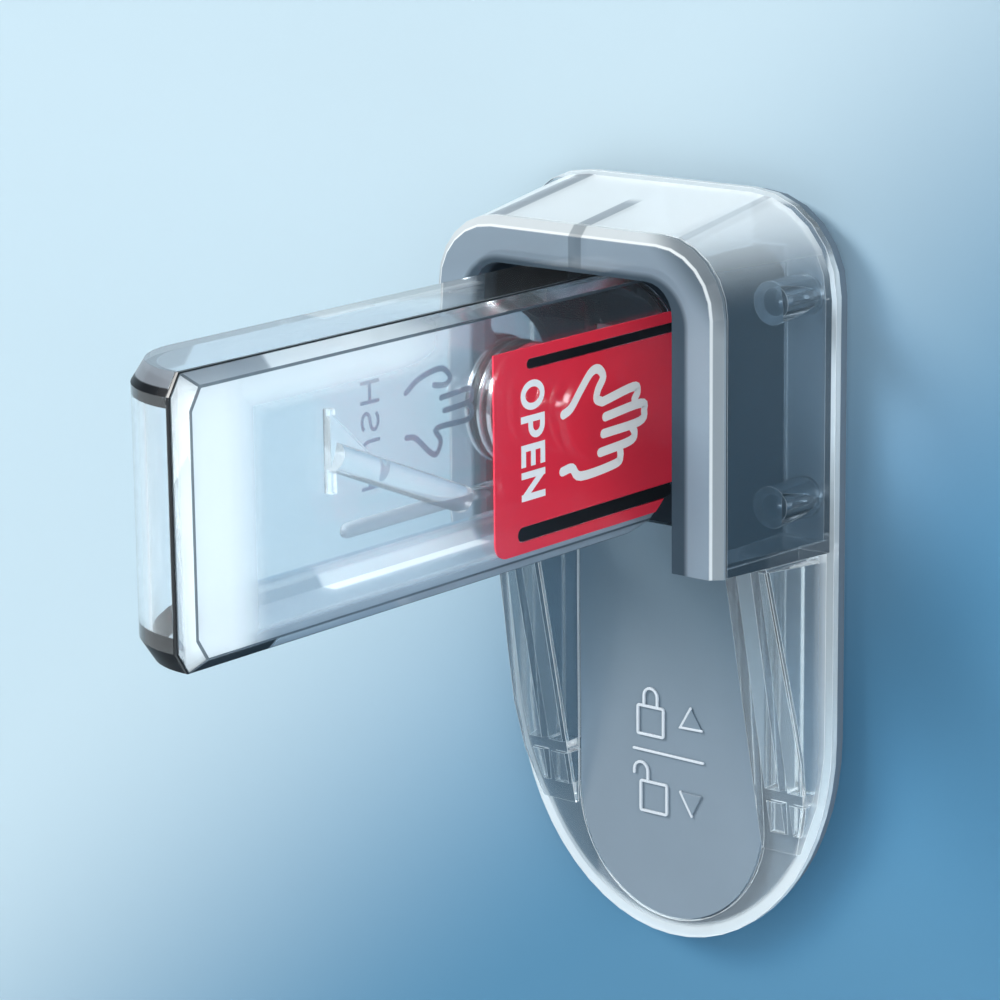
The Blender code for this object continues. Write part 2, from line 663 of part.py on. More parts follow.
def roof_drop(x):
    """How far the hood's rounded roof corner falls at one distance from the middle."""
    start = PLATE_HALF_WIDTH - PLATE_TOP_RADIUS
    beyond = max(0.0, x - start)
    return PLATE_TOP_RADIUS - math.sqrt(PLATE_TOP_RADIUS ** 2 - beyond ** 2)


# Pivot

def make_pivot_bolt(steel, frame):
    shoulder = -MOUTH_HALF_WIDTH + BORE_CLEARANCE
    profile = [(BOLT_LEFT, THREAD_RADIUS), (shoulder, THREAD_RADIUS), (shoulder, SHANK_RADIUS)]
    profile += [(BOLT_HEAD_LEFT, SHANK_RADIUS), (BOLT_HEAD_LEFT, BOLT_HEAD_RADIUS)]
    profile += [(BOLT_HEAD_RIGHT - BOLT_HEAD_CHAMFER, BOLT_HEAD_RADIUS)]
    profile += [(BOLT_HEAD_RIGHT, BOLT_HEAD_RADIUS - BOLT_HEAD_CHAMFER)]
    add("pivot_bolt", rod(profile), steel, frame, ORIGIN)


def make_grub_screw(steel, frame):
    """Set screw, driven from behind, that holds the bolt in its block."""
    centre = (GRUB_X, PIVOT_Z)
    front = PIVOT_DEPTH - THREAD_RADIUS - SEAT_GAP
    profile = [(BLOCK_REAR + SEAT_GAP, GRUB_RADIUS), (front, GRUB_RADIUS)]
    add("grub_screw", plug(profile, centre, ROUND_STEPS // 2), steel, frame, ORIGIN)


def spring_points():
    first = BUSH_FLANGE_RIGHT + SEAT_GAP + SPRING_WIRE / 2
    last = BOLT_HEAD_LEFT - SEAT_GAP - SPRING_WIRE / 2
    count = SPRING_TURNS * SPRING_POINTS_PER_TURN
    points = []
    for k in range(count + 1):
        angle = 2.0 * math.pi * k / SPRING_POINTS_PER_TURN
        y = SPRING_RADIUS * math.cos(angle) - PIVOT_DEPTH
        z = SPRING_RADIUS * math.sin(angle) + PIVOT_Z
        points.append((first + (last - first) * k / count, y, z))
    return points


def least_gap(points, wire, apart):
    """The least distance between turns, from points at least so many steps apart."""
    gaps = [math.dist(a, b) for i, a in enumerate(points) for b in points[i + apart:]]
    return min(gaps) - wire


def make_return_spring(steel, frame):
    points = spring_points()
    gap = least_gap(points, SPRING_WIRE, SPRING_POINTS_PER_TURN // 2)
    print(f"return_spring: least gap to itself {gap:.2f} mm")
    curve = bpy.data.curves.new("return_spring", "CURVE")
    curve.dimensions = "3D"
    curve.bevel_depth = SPRING_WIRE / 2 * MM
    curve.bevel_resolution = 1
    curve.use_fill_caps = True
    spline = curve.splines.new("POLY")
    spline.points.add(len(points) - 1)
    for spot, point in zip(spline.points, points):
        spot.co = (*[v * MM for v in point], 1.0)
    curve.materials.append(steel)
    obj = bpy.data.objects.new("return_spring", curve)
    bpy.context.collection.objects.link(obj)
    obj.parent = frame


def make_pivot_bush(acetal, frame):
    """Flanged sleeve that slides on the bolt with the arm and that the arm turns on."""
    centre = (PIVOT_DEPTH, PIVOT_Z)
    sleeve_left = CUP_FACE + BORE_CLEARANCE
    outer = [(sleeve_left, BUSH_RADIUS), (BUSH_FLANGE_LEFT, BUSH_RADIUS)]
    outer += [(BUSH_FLANGE_LEFT, BUSH_FLANGE_RADIUS), (BUSH_FLANGE_RIGHT, BUSH_FLANGE_RADIUS)]
    outer_rings = [ring_about_x(x, r, centre) for x, r in outer]
    bore_rings = [ring_about_x(x, BUSH_BORE, centre) for x in (sleeve_left, BUSH_FLANGE_RIGHT)]
    add("pivot_bush", tube(outer_rings, bore_rings), acetal, frame, PIVOT)


# Pieces of the arm

def shell_plan(inset, rear, right):
    """The arm shell's outline from above, as place along X and depth, with its rounded nose."""
    left = ARM_LEFT + inset
    across = SHELL_RIGHT - left
    nose_start = NOSE_DEPTH_FROM_DOOR - NOSE_DEPTH
    nose = arc(SHELL_RIGHT, nose_start, across, NOSE_DEPTH - inset, 180, 90, ELLIPSE_STEPS // 2)
    if right > SHELL_RIGHT:
        nose.append((right, nose[-1][1]))
    return [(left, rear)] + nose + [(right, rear)]


def rear_depth(height, inset):
    """Depth of the arm's rear end at one height from the pivot."""
    rear = REAR_REACH - inset
    tall = TOP_REACH - inset if height > 0 else rear
    share = min(1.0, abs(height) / tall)
    return PIVOT_DEPTH - rear * math.sqrt(1.0 - share * share)


def shell_solid(wall, right):
    """The arm's outside, or with a wall its hollow, as a stack of outlines from bottom to top."""
    low = wall - ARM_DROP
    high = ARM_RISE - wall
    levels = [(low, wall + ARM_BEVEL)]
    first = low + ARM_BEVEL_HEIGHT
    last = high - ARM_BEVEL_HEIGHT
    steps = ELLIPSE_STEPS // 2
    for k in range(steps + 1):
        turn = math.cos(math.pi * k / steps)
        levels.append(((first + last) / 2 - (last - first) / 2 * turn, wall))
    levels.append((high, wall + ARM_BEVEL))
    loops = []
    for height, inset in levels:
        plan = shell_plan(inset, rear_depth(height, wall), right)
        loops.append([(x, -depth, PIVOT_Z + height) for x, depth in plan])
    return loft(loops)


def wall_slab(side):
    """A web on the inside of the left wall, from its outline as depth and height."""
    return loft([at_x(side, ARM_LEFT + ARM_WALL / 2), at_x(side, ARM_LEFT + ARM_WALL + GUSSET_THICK)])


def strut():
    """A round rib that slants down along the inside of the left wall."""
    ahead, above = STRUT_AHEAD, STRUT_ABOVE
    length = math.hypot(ahead[1] - ahead[0], above[1] - above[0])
    across = ((above[1] - above[0]) / length, (ahead[0] - ahead[1]) / length)
    middle = ARM_LEFT + ARM_WALL / 2 + STRUT_RADIUS
    ring = arc(middle, 0, STRUT_RADIUS, STRUT_RADIUS, 0, 360, ROUND_STEPS)[:-1]
    ends = []
    for a, h in zip(ahead, above):
        depth = PIVOT_DEPTH + a
        height = PIVOT_Z + h
        ends.append([(x, -(depth + across[0] * t), height + across[1] * t) for x, t in ring])
    return loft(ends)


def gusset():
    """A triangular web above the strut's front end."""
    start = PIVOT_DEPTH + STRUT_AHEAD[0]
    share = (STRUT_AHEAD[0] - GUSSET_AHEAD) / (STRUT_AHEAD[0] - STRUT_AHEAD[1])
    foot = STRUT_ABOVE[0] + (STRUT_ABOVE[1] - STRUT_ABOVE[0]) * share
    corners = [(start, STRUT_ABOVE[0]), (start, GUSSET_ABOVE), (PIVOT_DEPTH + GUSSET_AHEAD, foot)]
    return wall_slab([(depth, PIVOT_Z + height) for depth, height in corners])


def strut_rib():
    """An upright rib at the strut's front end."""
    half = STRUT_RIB_THICK / 2
    start = PIVOT_DEPTH + STRUT_AHEAD[0]
    low = PIVOT_Z - STRUT_RIB_BELOW
    high = PIVOT_Z + GUSSET_ABOVE + half
    corners = [(start - half, low), (start + half, low), (start + half, high), (start - half, high)]
    return wall_slab(corners)


def guide_rail():
    """A round rib along the inside of the left wall, with a rounded front end."""
    radius = RAIL_RADIUS
    front = PIVOT_DEPTH + RAIL_AHEAD_END
    profile = [(PIVOT_DEPTH + RAIL_AHEAD_START, radius), (front - radius, radius)]
    profile += [(front - radius / 3, radius * 0.75), (front, radius * 0.3)]
    centre = (ARM_LEFT + ARM_WALL / 2 + radius, PIVOT_Z - RAIL_BELOW)
    return plug(profile, centre)


def peg_centre():
    return (PIVOT_DEPTH - PEG_ORBIT, PIVOT_Z)


def make_arm_shell(clear, frame):
    """Left, top, bottom, nose and rear walls of the arm, with the ribs inside."""
    obj = add("arm_shell", shell_solid(0.0, SHELL_RIGHT), clear, frame, PIVOT)
    cut(obj, "arm_hollow", [shell_solid(ARM_WALL, SHELL_RIGHT + ARM_WALL)], PIVOT)
    boss = PEG_RADIUS + PEG_BOSS_WALL
    peg_boss = rod([(ARM_LEFT + ARM_WALL / 2, boss), (ARM_LEFT + ARM_WALL + PEG_ROOT, boss)], peg_centre())
    join(obj, "arm_inside", [peg_boss, gusset(), strut_rib(), strut(), guide_rail()], PIVOT)
    cup_hole = CUP_RADIUS + BORE_CLEARANCE
    lip_hole = CUP_LIP_RADIUS + SEAT_GAP
    peg_hole = PEG_RADIUS + BORE_CLEARANCE
    peg_end = ARM_LEFT + ARM_WALL + PEG_ROOT + PEG_BOSS_WALL
    left = ARM_LEFT - ARM_WALL
    inside = ARM_LEFT + ARM_WALL
    cut(obj, "cup_hole", [rod([(left, cup_hole), (inside + ARM_WALL, cup_hole)])], PIVOT)
    cut(obj, "cup_seat", [rod([(inside, lip_hole), (peg_end, lip_hole)])], PIVOT)
    cut(obj, "peg_hole", [rod([(left, peg_hole), (peg_end, peg_hole)], peg_centre())], PIVOT)


def make_spring_cup(steel, frame):
    """Steel cup in the arm's left wall that holds the spring and turns on the bush."""
    bore = BUSH_RADIUS + BORE_CLEARANCE
    lip_right = CUP_LIP_LEFT + CUP_LIP_THICK
    outer = [(CUP_FACE, CUP_RADIUS - CUP_CHAMFER), (CUP_FACE + CUP_CHAMFER, CUP_RADIUS)]
    outer += [(CUP_LIP_LEFT, CUP_RADIUS), (CUP_LIP_LEFT, CUP_LIP_RADIUS), (lip_right, CUP_LIP_RADIUS)]
    inner = [(CUP_FACE, bore), (POCKET_FLOOR, bore)]
    inner += [(POCKET_FLOOR, POCKET_RADIUS), (lip_right, POCKET_RADIUS)]
    centre = (PIVOT_DEPTH, PIVOT_Z)
    rings = [[ring_about_x(x, r, centre) for x, r in wall] for wall in (outer, inner)]
    add("spring_cup", tube(rings[0], rings[1]), steel, frame, PIVOT)


def make_arm_seal(dark, frame):
    outer = side_loop(0.0, 0.0)
    inner = side_loop(SEAL_WIDTH, SEAL_WIDTH)
    places = (SEAL_LEFT, SEAL_RIGHT)
    shape = tube([at_x(outer, x) for x in places], [at_x(inner, x) for x in places])
    add("arm_seal", shape, dark, frame, PIVOT)


def make_arm_cover(clear, frame):
    rim = side_loop(0.0, 0.0)
    face = side_loop(ARM_BEVEL, REAR_BEVEL)
    add("arm_cover", loft([at_x(rim, COVER_INNER), at_x(face, ARM_RIGHT)]), clear, frame, PIVOT)


def label_loop():
    """The label's outline: straight in front, and following the arm's round end behind."""
    front = PIVOT_DEPTH + LABEL_FRONT
    low = PIVOT_Z - LABEL_BELOW
    radius = LABEL_CORNER
    corner = arc(front - radius, low + radius, radius, radius, 270, 360, CORNER_STEPS)
    curve = rear_curve(REAR_BEVEL + LABEL_EDGE, LABEL_ABOVE, LABEL_BELOW)
    return [(front, PIVOT_Z + LABEL_ABOVE)] + curve + corner


def label_slot(height, front, opening):
    """A slot with a round front end, open at the label's rear."""
    half = opening / 2
    start = PIVOT_DEPTH + front - half
    end = PIVOT_DEPTH - REAR_REACH - ARM_BEVEL
    loop = [(end, height + half), (end, height - half)]
    loop += arc(start, height, half, half, -90, 90, CORNER_STEPS)
    left = ARM_RIGHT - LABEL_THICK
    right = ARM_RIGHT + LABEL_GAP + LABEL_THICK * 2
    return loft([at_x(loop, left), at_x(loop, right)])


def make_open_label(red, frame):
    loop = label_loop()
    left = ARM_RIGHT + LABEL_GAP
    obj = add("open_label", loft([at_x(loop, left), at_x(loop, left + LABEL_THICK)]), red, frame, PIVOT)
    upper = label_slot(PIVOT_Z + LABEL_SLOT_ABOVE, LABEL_SLOT_ABOVE_FRONT, LABEL_SLOT_ABOVE_HEIGHT)
    lower = label_slot(PIVOT_Z - LABEL_SLOT_BELOW, LABEL_SLOT_BELOW_FRONT, LABEL_SLOT_BELOW_HEIGHT)
    slots = [upper, lower]
    cut(obj, "label_slots", slots, PIVOT)


def make_lock_peg(steel, frame):
    tip = -LINER_HALF_WIDTH + PEG_TIP_INSET
    profile = [(tip, PEG_RADIUS * 0.8), (tip + PEG_RADIUS / 3, PEG_RADIUS)]
    profile += [(ARM_LEFT + ARM_WALL + PEG_ROOT, PEG_RADIUS)]
    add("lock_peg", rod(profile, peg_centre(), ROUND_STEPS), steel, frame, PIVOT)


def main():
    clear_scene()
    clear = make_material("clear_plastic", (0.90, 0.95, 0.97), 0.08, alpha=0.35)
    smoke = make_material("smoke_plastic", (0.10, 0.13, 0.16), 0.12, alpha=0.6)
    grey = make_material("grey_panel", (0.22, 0.27, 0.33), 0.45)
    foam = make_material("adhesive_foam", (0.75, 0.77, 0.78), 0.9)
    dark = make_material("dark_seal", (0.015, 0.018, 0.022), 0.4)
    red = make_material("red_film", (0.75, 0.03, 0.06), 0.2, alpha=0.85)
    acetal = make_material("white_acetal", (0.85, 0.85, 0.83), 0.35)
    steel = make_material("plated_steel", (0.62, 0.63, 0.64), 0.25, metallic=1.0)

    door = make_frame("door_face", ORIGIN)
    make_adhesive_pad(foam, door)
    make_back_plate(smoke, door)
    make_base_frame(clear, door)
    make_channel_panel(grey, door)
    make_mouth_frame(smoke, door)
    make_hood(clear, door)
    make_screws(steel, door)
    make_pivot_bolt(steel, door)
    make_grub_screw(steel, door)
    make_return_spring(steel, door)

    pivot_slide = make_frame("pivot_slide", PIVOT)
    make_pivot_bush(acetal, pivot_slide)

    arm = make_frame("arm_axis", PIVOT)
    make_arm_shell(clear, arm)
    make_spring_cup(steel, arm)
    make_arm_seal(dark, arm)
    make_arm_cover(clear, arm)
    make_open_label(red, arm)
    make_lock_peg(steel, arm)


main()
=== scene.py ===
"""Looks of a child-safety lock for a lever door handle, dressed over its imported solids.

Metres, +Z up. The door is the plane Y = 0, and the room is on the side of negative Y.
The print and the raised marks are laid out in millimetres.
"""
import math

import bmesh
import bpy
from mathutils import Matrix, Vector


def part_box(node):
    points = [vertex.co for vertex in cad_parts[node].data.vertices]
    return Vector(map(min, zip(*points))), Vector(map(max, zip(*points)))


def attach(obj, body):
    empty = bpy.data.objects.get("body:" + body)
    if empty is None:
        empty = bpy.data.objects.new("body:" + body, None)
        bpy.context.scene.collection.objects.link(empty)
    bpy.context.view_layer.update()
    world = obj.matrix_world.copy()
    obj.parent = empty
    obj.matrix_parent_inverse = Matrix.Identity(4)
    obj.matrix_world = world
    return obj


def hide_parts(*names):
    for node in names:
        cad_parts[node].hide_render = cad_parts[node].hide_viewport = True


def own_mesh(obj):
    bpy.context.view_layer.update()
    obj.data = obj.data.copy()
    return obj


MM = 0.001
RIGHT = (1, 0, 0)
LEFT = (-1, 0, 0)
UP = (0, 0, 1)
DOWN = (0, 0, -1)
OUT = (0, -1, 0)
INWARD = (0, 1, 0)
UP_RIGHT = (1, 0, 1)
UP_LEFT = (-0.9, 0, 1)

# The plate's outline: straight sides down to the centre of a half ellipse, in millimetres
PLATE_HALF_WIDTH = 27.0
ELLIPSE_CENTRE = -20.3
ELLIPSE_RISE = 33.0

# Window in the wall behind the pad, in millimetres, and how many times larger the wall is
WINDOW_INSET = 2.0
WINDOW_TOP = [(25.0, 42.0), (16.0, 51.0), (-16.0, 51.0), (-25.0, 42.0)]
WINDOW_STEPS = 24
WALL_TO_WINDOW = 60.0

# Wall and floor, in metres, and where the wall's painted shadow gives way to painted light, in millimetres
WALL_Y = 0.0004
FLOOR_Z = -0.22
FLOOR_HALF_WIDTH = 1.6
WALL_PAINTED_LIGHT_SPAN = (-45.0, 75.0)

# Lamps, with places and sizes in metres, and the light of the room
LAMP_AIM = (0.0, -0.03, 0.0)
KEY_LAMP = {"place": (-1.10, -1.00, 0.95), "size": 0.50, "watts": 29.0, "color": (1.0, 0.99, 0.97)}
FILL_LAMP = {"place": (1.10, -0.62, 0.30), "size": 0.8, "watts": 10.0, "color": (0.95, 0.98, 1.0)}
ROOM_BLUE = (0.80, 0.90, 0.97)
ROOM_STRENGTH = 0.20

# Camera
CAMERA_PLACE = (0.3012, -0.4073, 0.1308)
CAMERA_AZIMUTH = 39.43
CAMERA_ELEVATION = 13.58
CAMERA_ROLL = -0.63
CAMERA_LENS = 136.7
SENSOR = 36.0

# Colours of the finishes, linear
CLEAR_ARM = (0.92, 0.96, 0.985)
CLEAR_BASE = (0.92, 0.955, 0.97)
CLEAR_HOOD = (0.66, 0.73, 0.78)
SMOKE_MOUTH = (0.30, 0.37, 0.43)
PALE_SMOKE = (0.50, 0.58, 0.64)
EDGE_SMOKE = (0.50, 0.57, 0.63)
VEIL_WHITE = (0.93, 0.96, 0.97)
VEIL_GREY = (0.27, 0.33, 0.39)
HOOD_PAINTED_SHADE = (0.18, 0.24, 0.29)
VEIL_BLUE = (0.48, 0.56, 0.66)
RAIL_GREY = (0.26, 0.29, 0.33)
RAIL_PAINTED_SHADE = (0.08, 0.15, 0.21)
RIM_PAINTED_HIGHLIGHT = (0.84, 0.90, 0.93)
MOUTH_LOW = (0.30, 0.37, 0.44)
MOUTH_HIGH = (0.24, 0.31, 0.38)
BAR_PAINTED_SHADE = (0.30, 0.33, 0.36)
MOUTH_PAINTED_SHADE = (0.05, 0.075, 0.10)
MOUTH_INSIDE_PAINTED_SHADE = (0.012, 0.018, 0.025)
BEVEL_LOW = (0.36, 0.40, 0.43)
BEVEL_HIGH = (0.66, 0.70, 0.72)
BACK_GREY = (0.22, 0.28, 0.34)
EDGE_PAINTED_SHADE = (0.06, 0.08, 0.10)
EDGE_PAINTED_HIGHLIGHT = (0.92, 0.95, 0.96)
ARM_TINT = (0.90, 0.94, 0.96)
BASE_TINT = (0.62, 0.68, 0.72)
HOOD_TINT = (0.86, 0.88, 0.90)
MOUTH_TINT = (0.95, 0.96, 0.97)
BACK_TINT = (0.20, 0.24, 0.28)
PANEL_GREY = (0.215, 0.280, 0.345)
PANEL_PAINTED_SHADE = (0.115, 0.170, 0.215)
PAD_WHITE = (0.72, 0.76, 0.79)
SEAL_BLACK = (0.010, 0.012, 0.015)
LABEL_RED = (0.93, 0.045, 0.085)
PRINT_WHITE = (0.96, 0.96, 0.96)
PRINT_BLUE_GREY = (0.16, 0.22, 0.30)
MARK_PAINTED_HIGHLIGHT = (0.62, 0.68, 0.74)
ACETAL_IVORY = (0.80, 0.80, 0.77)
STEEL_DIM = (0.576, 0.584, 0.600)
STEEL_BRIGHT = (0.72, 0.73, 0.75)
# Painted shadow and painted light: the wall's dark blue to the right of and below the lock, and its
# lighter blue to the upper left
WALL_PAINTED_SHADOW_BLUE = (0.085, 0.235, 0.38)
WALL_PALE_AND_PAINTED_LIGHT = (0.52, 0.66, 0.74)
FLOOR_PALE = (0.60, 0.64, 0.67)
BLACK = (0.0, 0.0, 0.0)

# Surfaces: refraction, clouds in the finish, depth of the grain in millimetres, and lines in steel
PLASTIC_INDEX = 1.45
CLOUD_SPAN = (0.3, 0.7)
GRAIN_DEPTH = 0.06
CLEAR_DRIFT = 0.04
CLEAR_SCALE = 40.0
STEEL_LINES = (5200.0, 240.0, 240.0)
STEEL_GLOSS = (0.12, 0.30)

# Rounding of moulded edges, in millimetres, and angles that tell edges from flat faces, in degrees
ARM_EDGE = 0.35
BASE_EDGE = 0.30
MOUTH_EDGE = 0.35
STEEL_EDGE = 0.12
WELD_GAP = 0.002
FLAT_ANGLE = 0.3
SHARP_ANGLE = 30.0
BEVEL_ANGLE = 31.0

# Veils of the arm: where each fades in or out, in millimetres, and the share where the arm is plain
ARM_PLAIN = (35.0, 62.0)
ARM_PLAIN_SHARE = (0.008, 0.045)
COVER_FACE = (1.20, 1.28)
NOSE_WHITE = (86.0, 95.0)
NOSE_TIP = (100.6, 101.4)
COVER_TOP = (35.0, 39.5)
COVER_TOP_START = (46.0, 66.0)
TOP_FACE = (41.6, 42.4)
TOP_FACE_START = (40.0, 60.0)
BOTTOM_FACE = (9.6, 10.6)
BOTTOM_FACE_END = (88.0, 94.0)
RIBS_LEFT = (-11.2, -11.0)
RIBS_RIGHT = (-8.0, -7.0)
RIBS_REAR = (34.0, 36.0)
RIBS_FRONT = (65.0, 66.0)
RAIL_LOW = (13.1, 13.3)
RAIL_HIGH = (15.3, 15.5)
NOSE_START = (86.0, 87.0)
BEVEL_SHADE = (41.1, 41.3)

# How far a face has to turn to count as an end face, as leaning and as flat, as cosines
END_TURN = (0.3, 0.5)
LEAN_TURN = (0.25, 0.40)
FLAT_TURN = (0.84, 0.94)

# Veil of the base, with a painted highlight on the rim and painted shade on the left rail: the rim as a
# part of the way to the outline, other places in millimetres
RIM_BAND = (0.930, 0.955)
RIM_TOP = (51.0, 52.2)
LEFT_RAIL = (-13.0, -12.0)
BASE_SHARE = 0.04
RIM_SHARE = 0.46
LEFT_RAIL_SHARE = 0.24

# Veil of the hood, in millimetres, with painted light on top, painted shade lower down and grey bars of
# painted shade given by two edges and their softness
HOOD_PAINTED_LIGHT_SPAN = (40.0, 50.0)
HOOD_THICKENS = (40.0, 51.0)
HOOD_SHARE = (0.10, 0.48)
BAR_LEFT = (-15.2, -12.8, 0.5)
BAR_MIDDLE = (-0.3, 1.5, 0.3)
BAR_RIGHT = (15.9, 16.6, 0.4)
BAR_RIGHT_STRENGTH = 0.6
BAR_MIDDLE_START = (12.0, 14.5)
BARS_LOW = (46.0, 49.0)
BAR_SHARE = 0.70

# Veil of the mouth: painted shade on its lip, in its upper right corner, in a bar at the top and inside,
# its flat front and its bevel with a painted highlight on the crease, in millimetres
LIP_HALF_WIDTH = 18.6
LIP_TOP = 44.6
LIP_CORNER = 6.5
LIP_SOFT = 0.4
FRONT_DARKENS = (36.0, 44.0)
FRONT_FLAT = (25.7, 25.9)
BEVEL_PALES = (38.0, 49.0)
CORNER_SHADE_SPAN = (60.0, 66.0)
CORNER_SHADE_SHARE = 0.7
CREASE_HIGHLIGHT_START = (25.62, 25.74)
CREASE_HIGHLIGHT_END = (25.92, 25.98)
BEZEL_SHADE_BAR = (43.0, 44.0)
BEZEL_SHADE_BAR_SHARE = 0.5
MOUTH_DEPTH = (23.0, 24.6)
INSIDE_SHARE = 0.97
FRONT_SHARE = 0.78

# Where painted shade darkens the panel towards the mouth, in millimetres
PANEL_SHADE_SPAN = (-34.0, 2.0)

# Print on the label and on the arm's left face, in millimetres
PRINT_LIFT = 0.02
PRINT_THICK = 0.06
STROKE_STEP = 0.004
OPEN_HEIGHT = 4.8
OPEN_STROKE = 0.90
OPEN_BASELINE_Y = -40.7
OPEN_START_Z = 32.0
OPEN_WIDTHS = {"O": 3.9, "P": 3.1, "E": 2.9, "N": 3.8}
OPEN_GAP = 0.65
HAND_STROKE = 1.25
PUSH_HEIGHT = 3.6
PUSH_STROKE = 0.50
PUSH_BASELINE_Y = -54.8
PUSH_START_Z = 18.3
PUSH_WIDTHS = {"P": 2.7, "U": 3.0, "S": 2.8, "H": 3.1}
PUSH_GAP = 0.90
PUSH_HAND_STROKE = 0.80

# Black lines of painted shade in the label's two slots, placed from the pivot, in millimetres
SLOT_PLAY = 0.10
SLOT_LINE_LIFT = 0.06
SLOT_LINE_THICK = 0.18
SLOT_UPPER = {"above": 9.6, "front": 16.6, "rear": 15.0, "height": 1.4}
SLOT_LOWER = {"above": -12.5, "front": 18.7, "rear": 13.2, "height": 2.0}

# Wire rings round the spring cup and the coil spring, in millimetres
RING_RADIUS = 8.1
RING_WIRE = 0.85
RING_FIRST_X = -15.3
RING_PITCH = 1.0
SPRING_RADIUS = 5.4
SPRING_WIRE = 0.95
SPRING_TURNS = 5
WIRE_STEPS = 36
WIRE_SIDES = 12

# Raised marks on the channel panel, in millimetres
MARK_STROKE = 0.38
MARK_HEIGHT = 0.32
MARK_BLOCK = 0.26
MARK_EDGE = 0.10
PADLOCK_CORNER = 0.25
SHACKLE_TO_WIDTH = 0.26
SHACKLE_RISE = 1.5
SHACKLE_END_DROP = 0.5


def mm(values):
    return Vector(values) * MM


# Camera, light and stage

def make_camera():
    azimuth = math.radians(CAMERA_AZIMUTH)
    elevation = math.radians(CAMERA_ELEVATION)
    roll = math.radians(CAMERA_ROLL)
    level = math.cos(elevation)
    back = Vector((math.sin(azimuth) * level, -math.cos(azimuth) * level, math.sin(elevation)))
    right = (-back).cross(Vector((0, 0, 1))).normalized()
    up = right.cross(-back)
    across = right * math.cos(roll) + up * math.sin(roll)
    upright = up * math.cos(roll) - right * math.sin(roll)
    data = bpy.data.cameras.new("camera")
    data.lens = CAMERA_LENS
    data.sensor_width = SENSOR
    data.sensor_fit = "HORIZONTAL"
    camera = bpy.data.objects.new("camera", data)
    turn = Matrix((across, upright, back)).transposed().to_4x4()
    camera.matrix_world = Matrix.Translation(CAMERA_PLACE) @ turn
    bpy.context.scene.collection.objects.link(camera)
    bpy.context.scene.camera = camera


def soft_lamp(name, place, size, watts, color):
    """A square soft box aimed at the lock."""
    data = bpy.data.lights.new(name, "AREA")
    data.size = size
    data.energy = watts
    data.color = color
    lamp = bpy.data.objects.new(name, data)
    lamp.location = place
    lamp.rotation_euler = (Vector(LAMP_AIM) - Vector(place)).to_track_quat("-Z", "Y").to_euler()
    bpy.context.scene.collection.objects.link(lamp)


def light_the_room():
    soft_lamp("key_upper_left", **KEY_LAMP)
    soft_lamp("fill_right", **FILL_LAMP)
    world = bpy.data.worlds.new("room")
    bpy.context.scene.world = world
    world.use_nodes = True
    ground = world.node_tree.nodes["Background"]
    ground.inputs["Color"].default_value = (*ROOM_BLUE, 1.0)
    ground.inputs["Strength"].default_value = ROOM_STRENGTH


def sheet_of_stage(name, corners, faces, material):
    mesh = bpy.data.meshes.new(name)
    mesh.from_pydata(corners, [], faces)
    mesh.materials.append(material)
    sheet = bpy.data.objects.new(name, mesh)
    bpy.context.scene.collection.objects.link(sheet)


def wall_material():
    """Pale blue paint, lighter to the upper left, that shows only its room side. The change from dark to
    light is painted shadow and painted light.
    """
    material, tree, shader = new_material("wall_paint")
    # Painted shadow to the lower right and painted light to the upper left
    lighter = rise(tree, UP_LEFT, *WALL_PAINTED_LIGHT_SPAN)
    tree.links.new(between_colors(tree, WALL_PAINTED_SHADOW_BLUE, WALL_PALE_AND_PAINTED_LIGHT, lighter), shader.inputs["Base Color"])
    shader.inputs["Roughness"].default_value = 0.7
    shader.inputs["Specular IOR Level"].default_value = 0.2
    side = tree.nodes.new("ShaderNodeNewGeometry")
    open_back(tree, shader.outputs["BSDF"], side.outputs["Backfacing"])
    return material


def floor_material():
    material, _, shader = new_material("floor_paint")
    shader.inputs["Base Color"].default_value = (*FLOOR_PALE, 1.0)
    shader.inputs["Roughness"].default_value = 0.8
    return material


def make_stage():
    """A floor, and a wall with a window behind the pad, so that light from behind reaches the pad."""
    radii = (PLATE_HALF_WIDTH - WINDOW_INSET, ELLIPSE_RISE - WINDOW_INSET)
    window = arc((0.0, ELLIPSE_CENTRE), radii, 180, 360, WINDOW_STEPS) + WINDOW_TOP
    count = len(window)
    points = [(x * MM * size, WALL_Y, z * MM * size) for size in (1.0, WALL_TO_WINDOW) for x, z in window]
    strips = [(k + count, (k + 1) % count + count, (k + 1) % count, k) for k in range(count)]
    sheet_of_stage("wall", points, strips, wall_material())
    far = FLOOR_HALF_WIDTH
    flat = [(x, y, FLOOR_Z) for x, y in ((-far, -far), (far, -far), (far, far), (-far, far))]
    sheet_of_stage("floor", flat, [(0, 1, 2, 3)], floor_material())


# Finishes

def new_material(name):
    material = bpy.data.materials.new(name)
    material.use_nodes = True
    tree = material.node_tree
    return material, tree, tree.nodes["Principled BSDF"]


def open_back(tree, shader, where):
    """Let light straight through the surface where the mask is on."""
    clear = tree.nodes.new("ShaderNodeBsdfTransparent")
    choice = tree.nodes.new("ShaderNodeMixShader")
    tree.links.new(where, choice.inputs["Fac"])
    tree.links.new(shader, choice.inputs[1])
    tree.links.new(clear.outputs["BSDF"], choice.inputs[2])
    tree.links.new(choice.outputs["Shader"], tree.nodes["Material Output"].inputs["Surface"])
    return clear


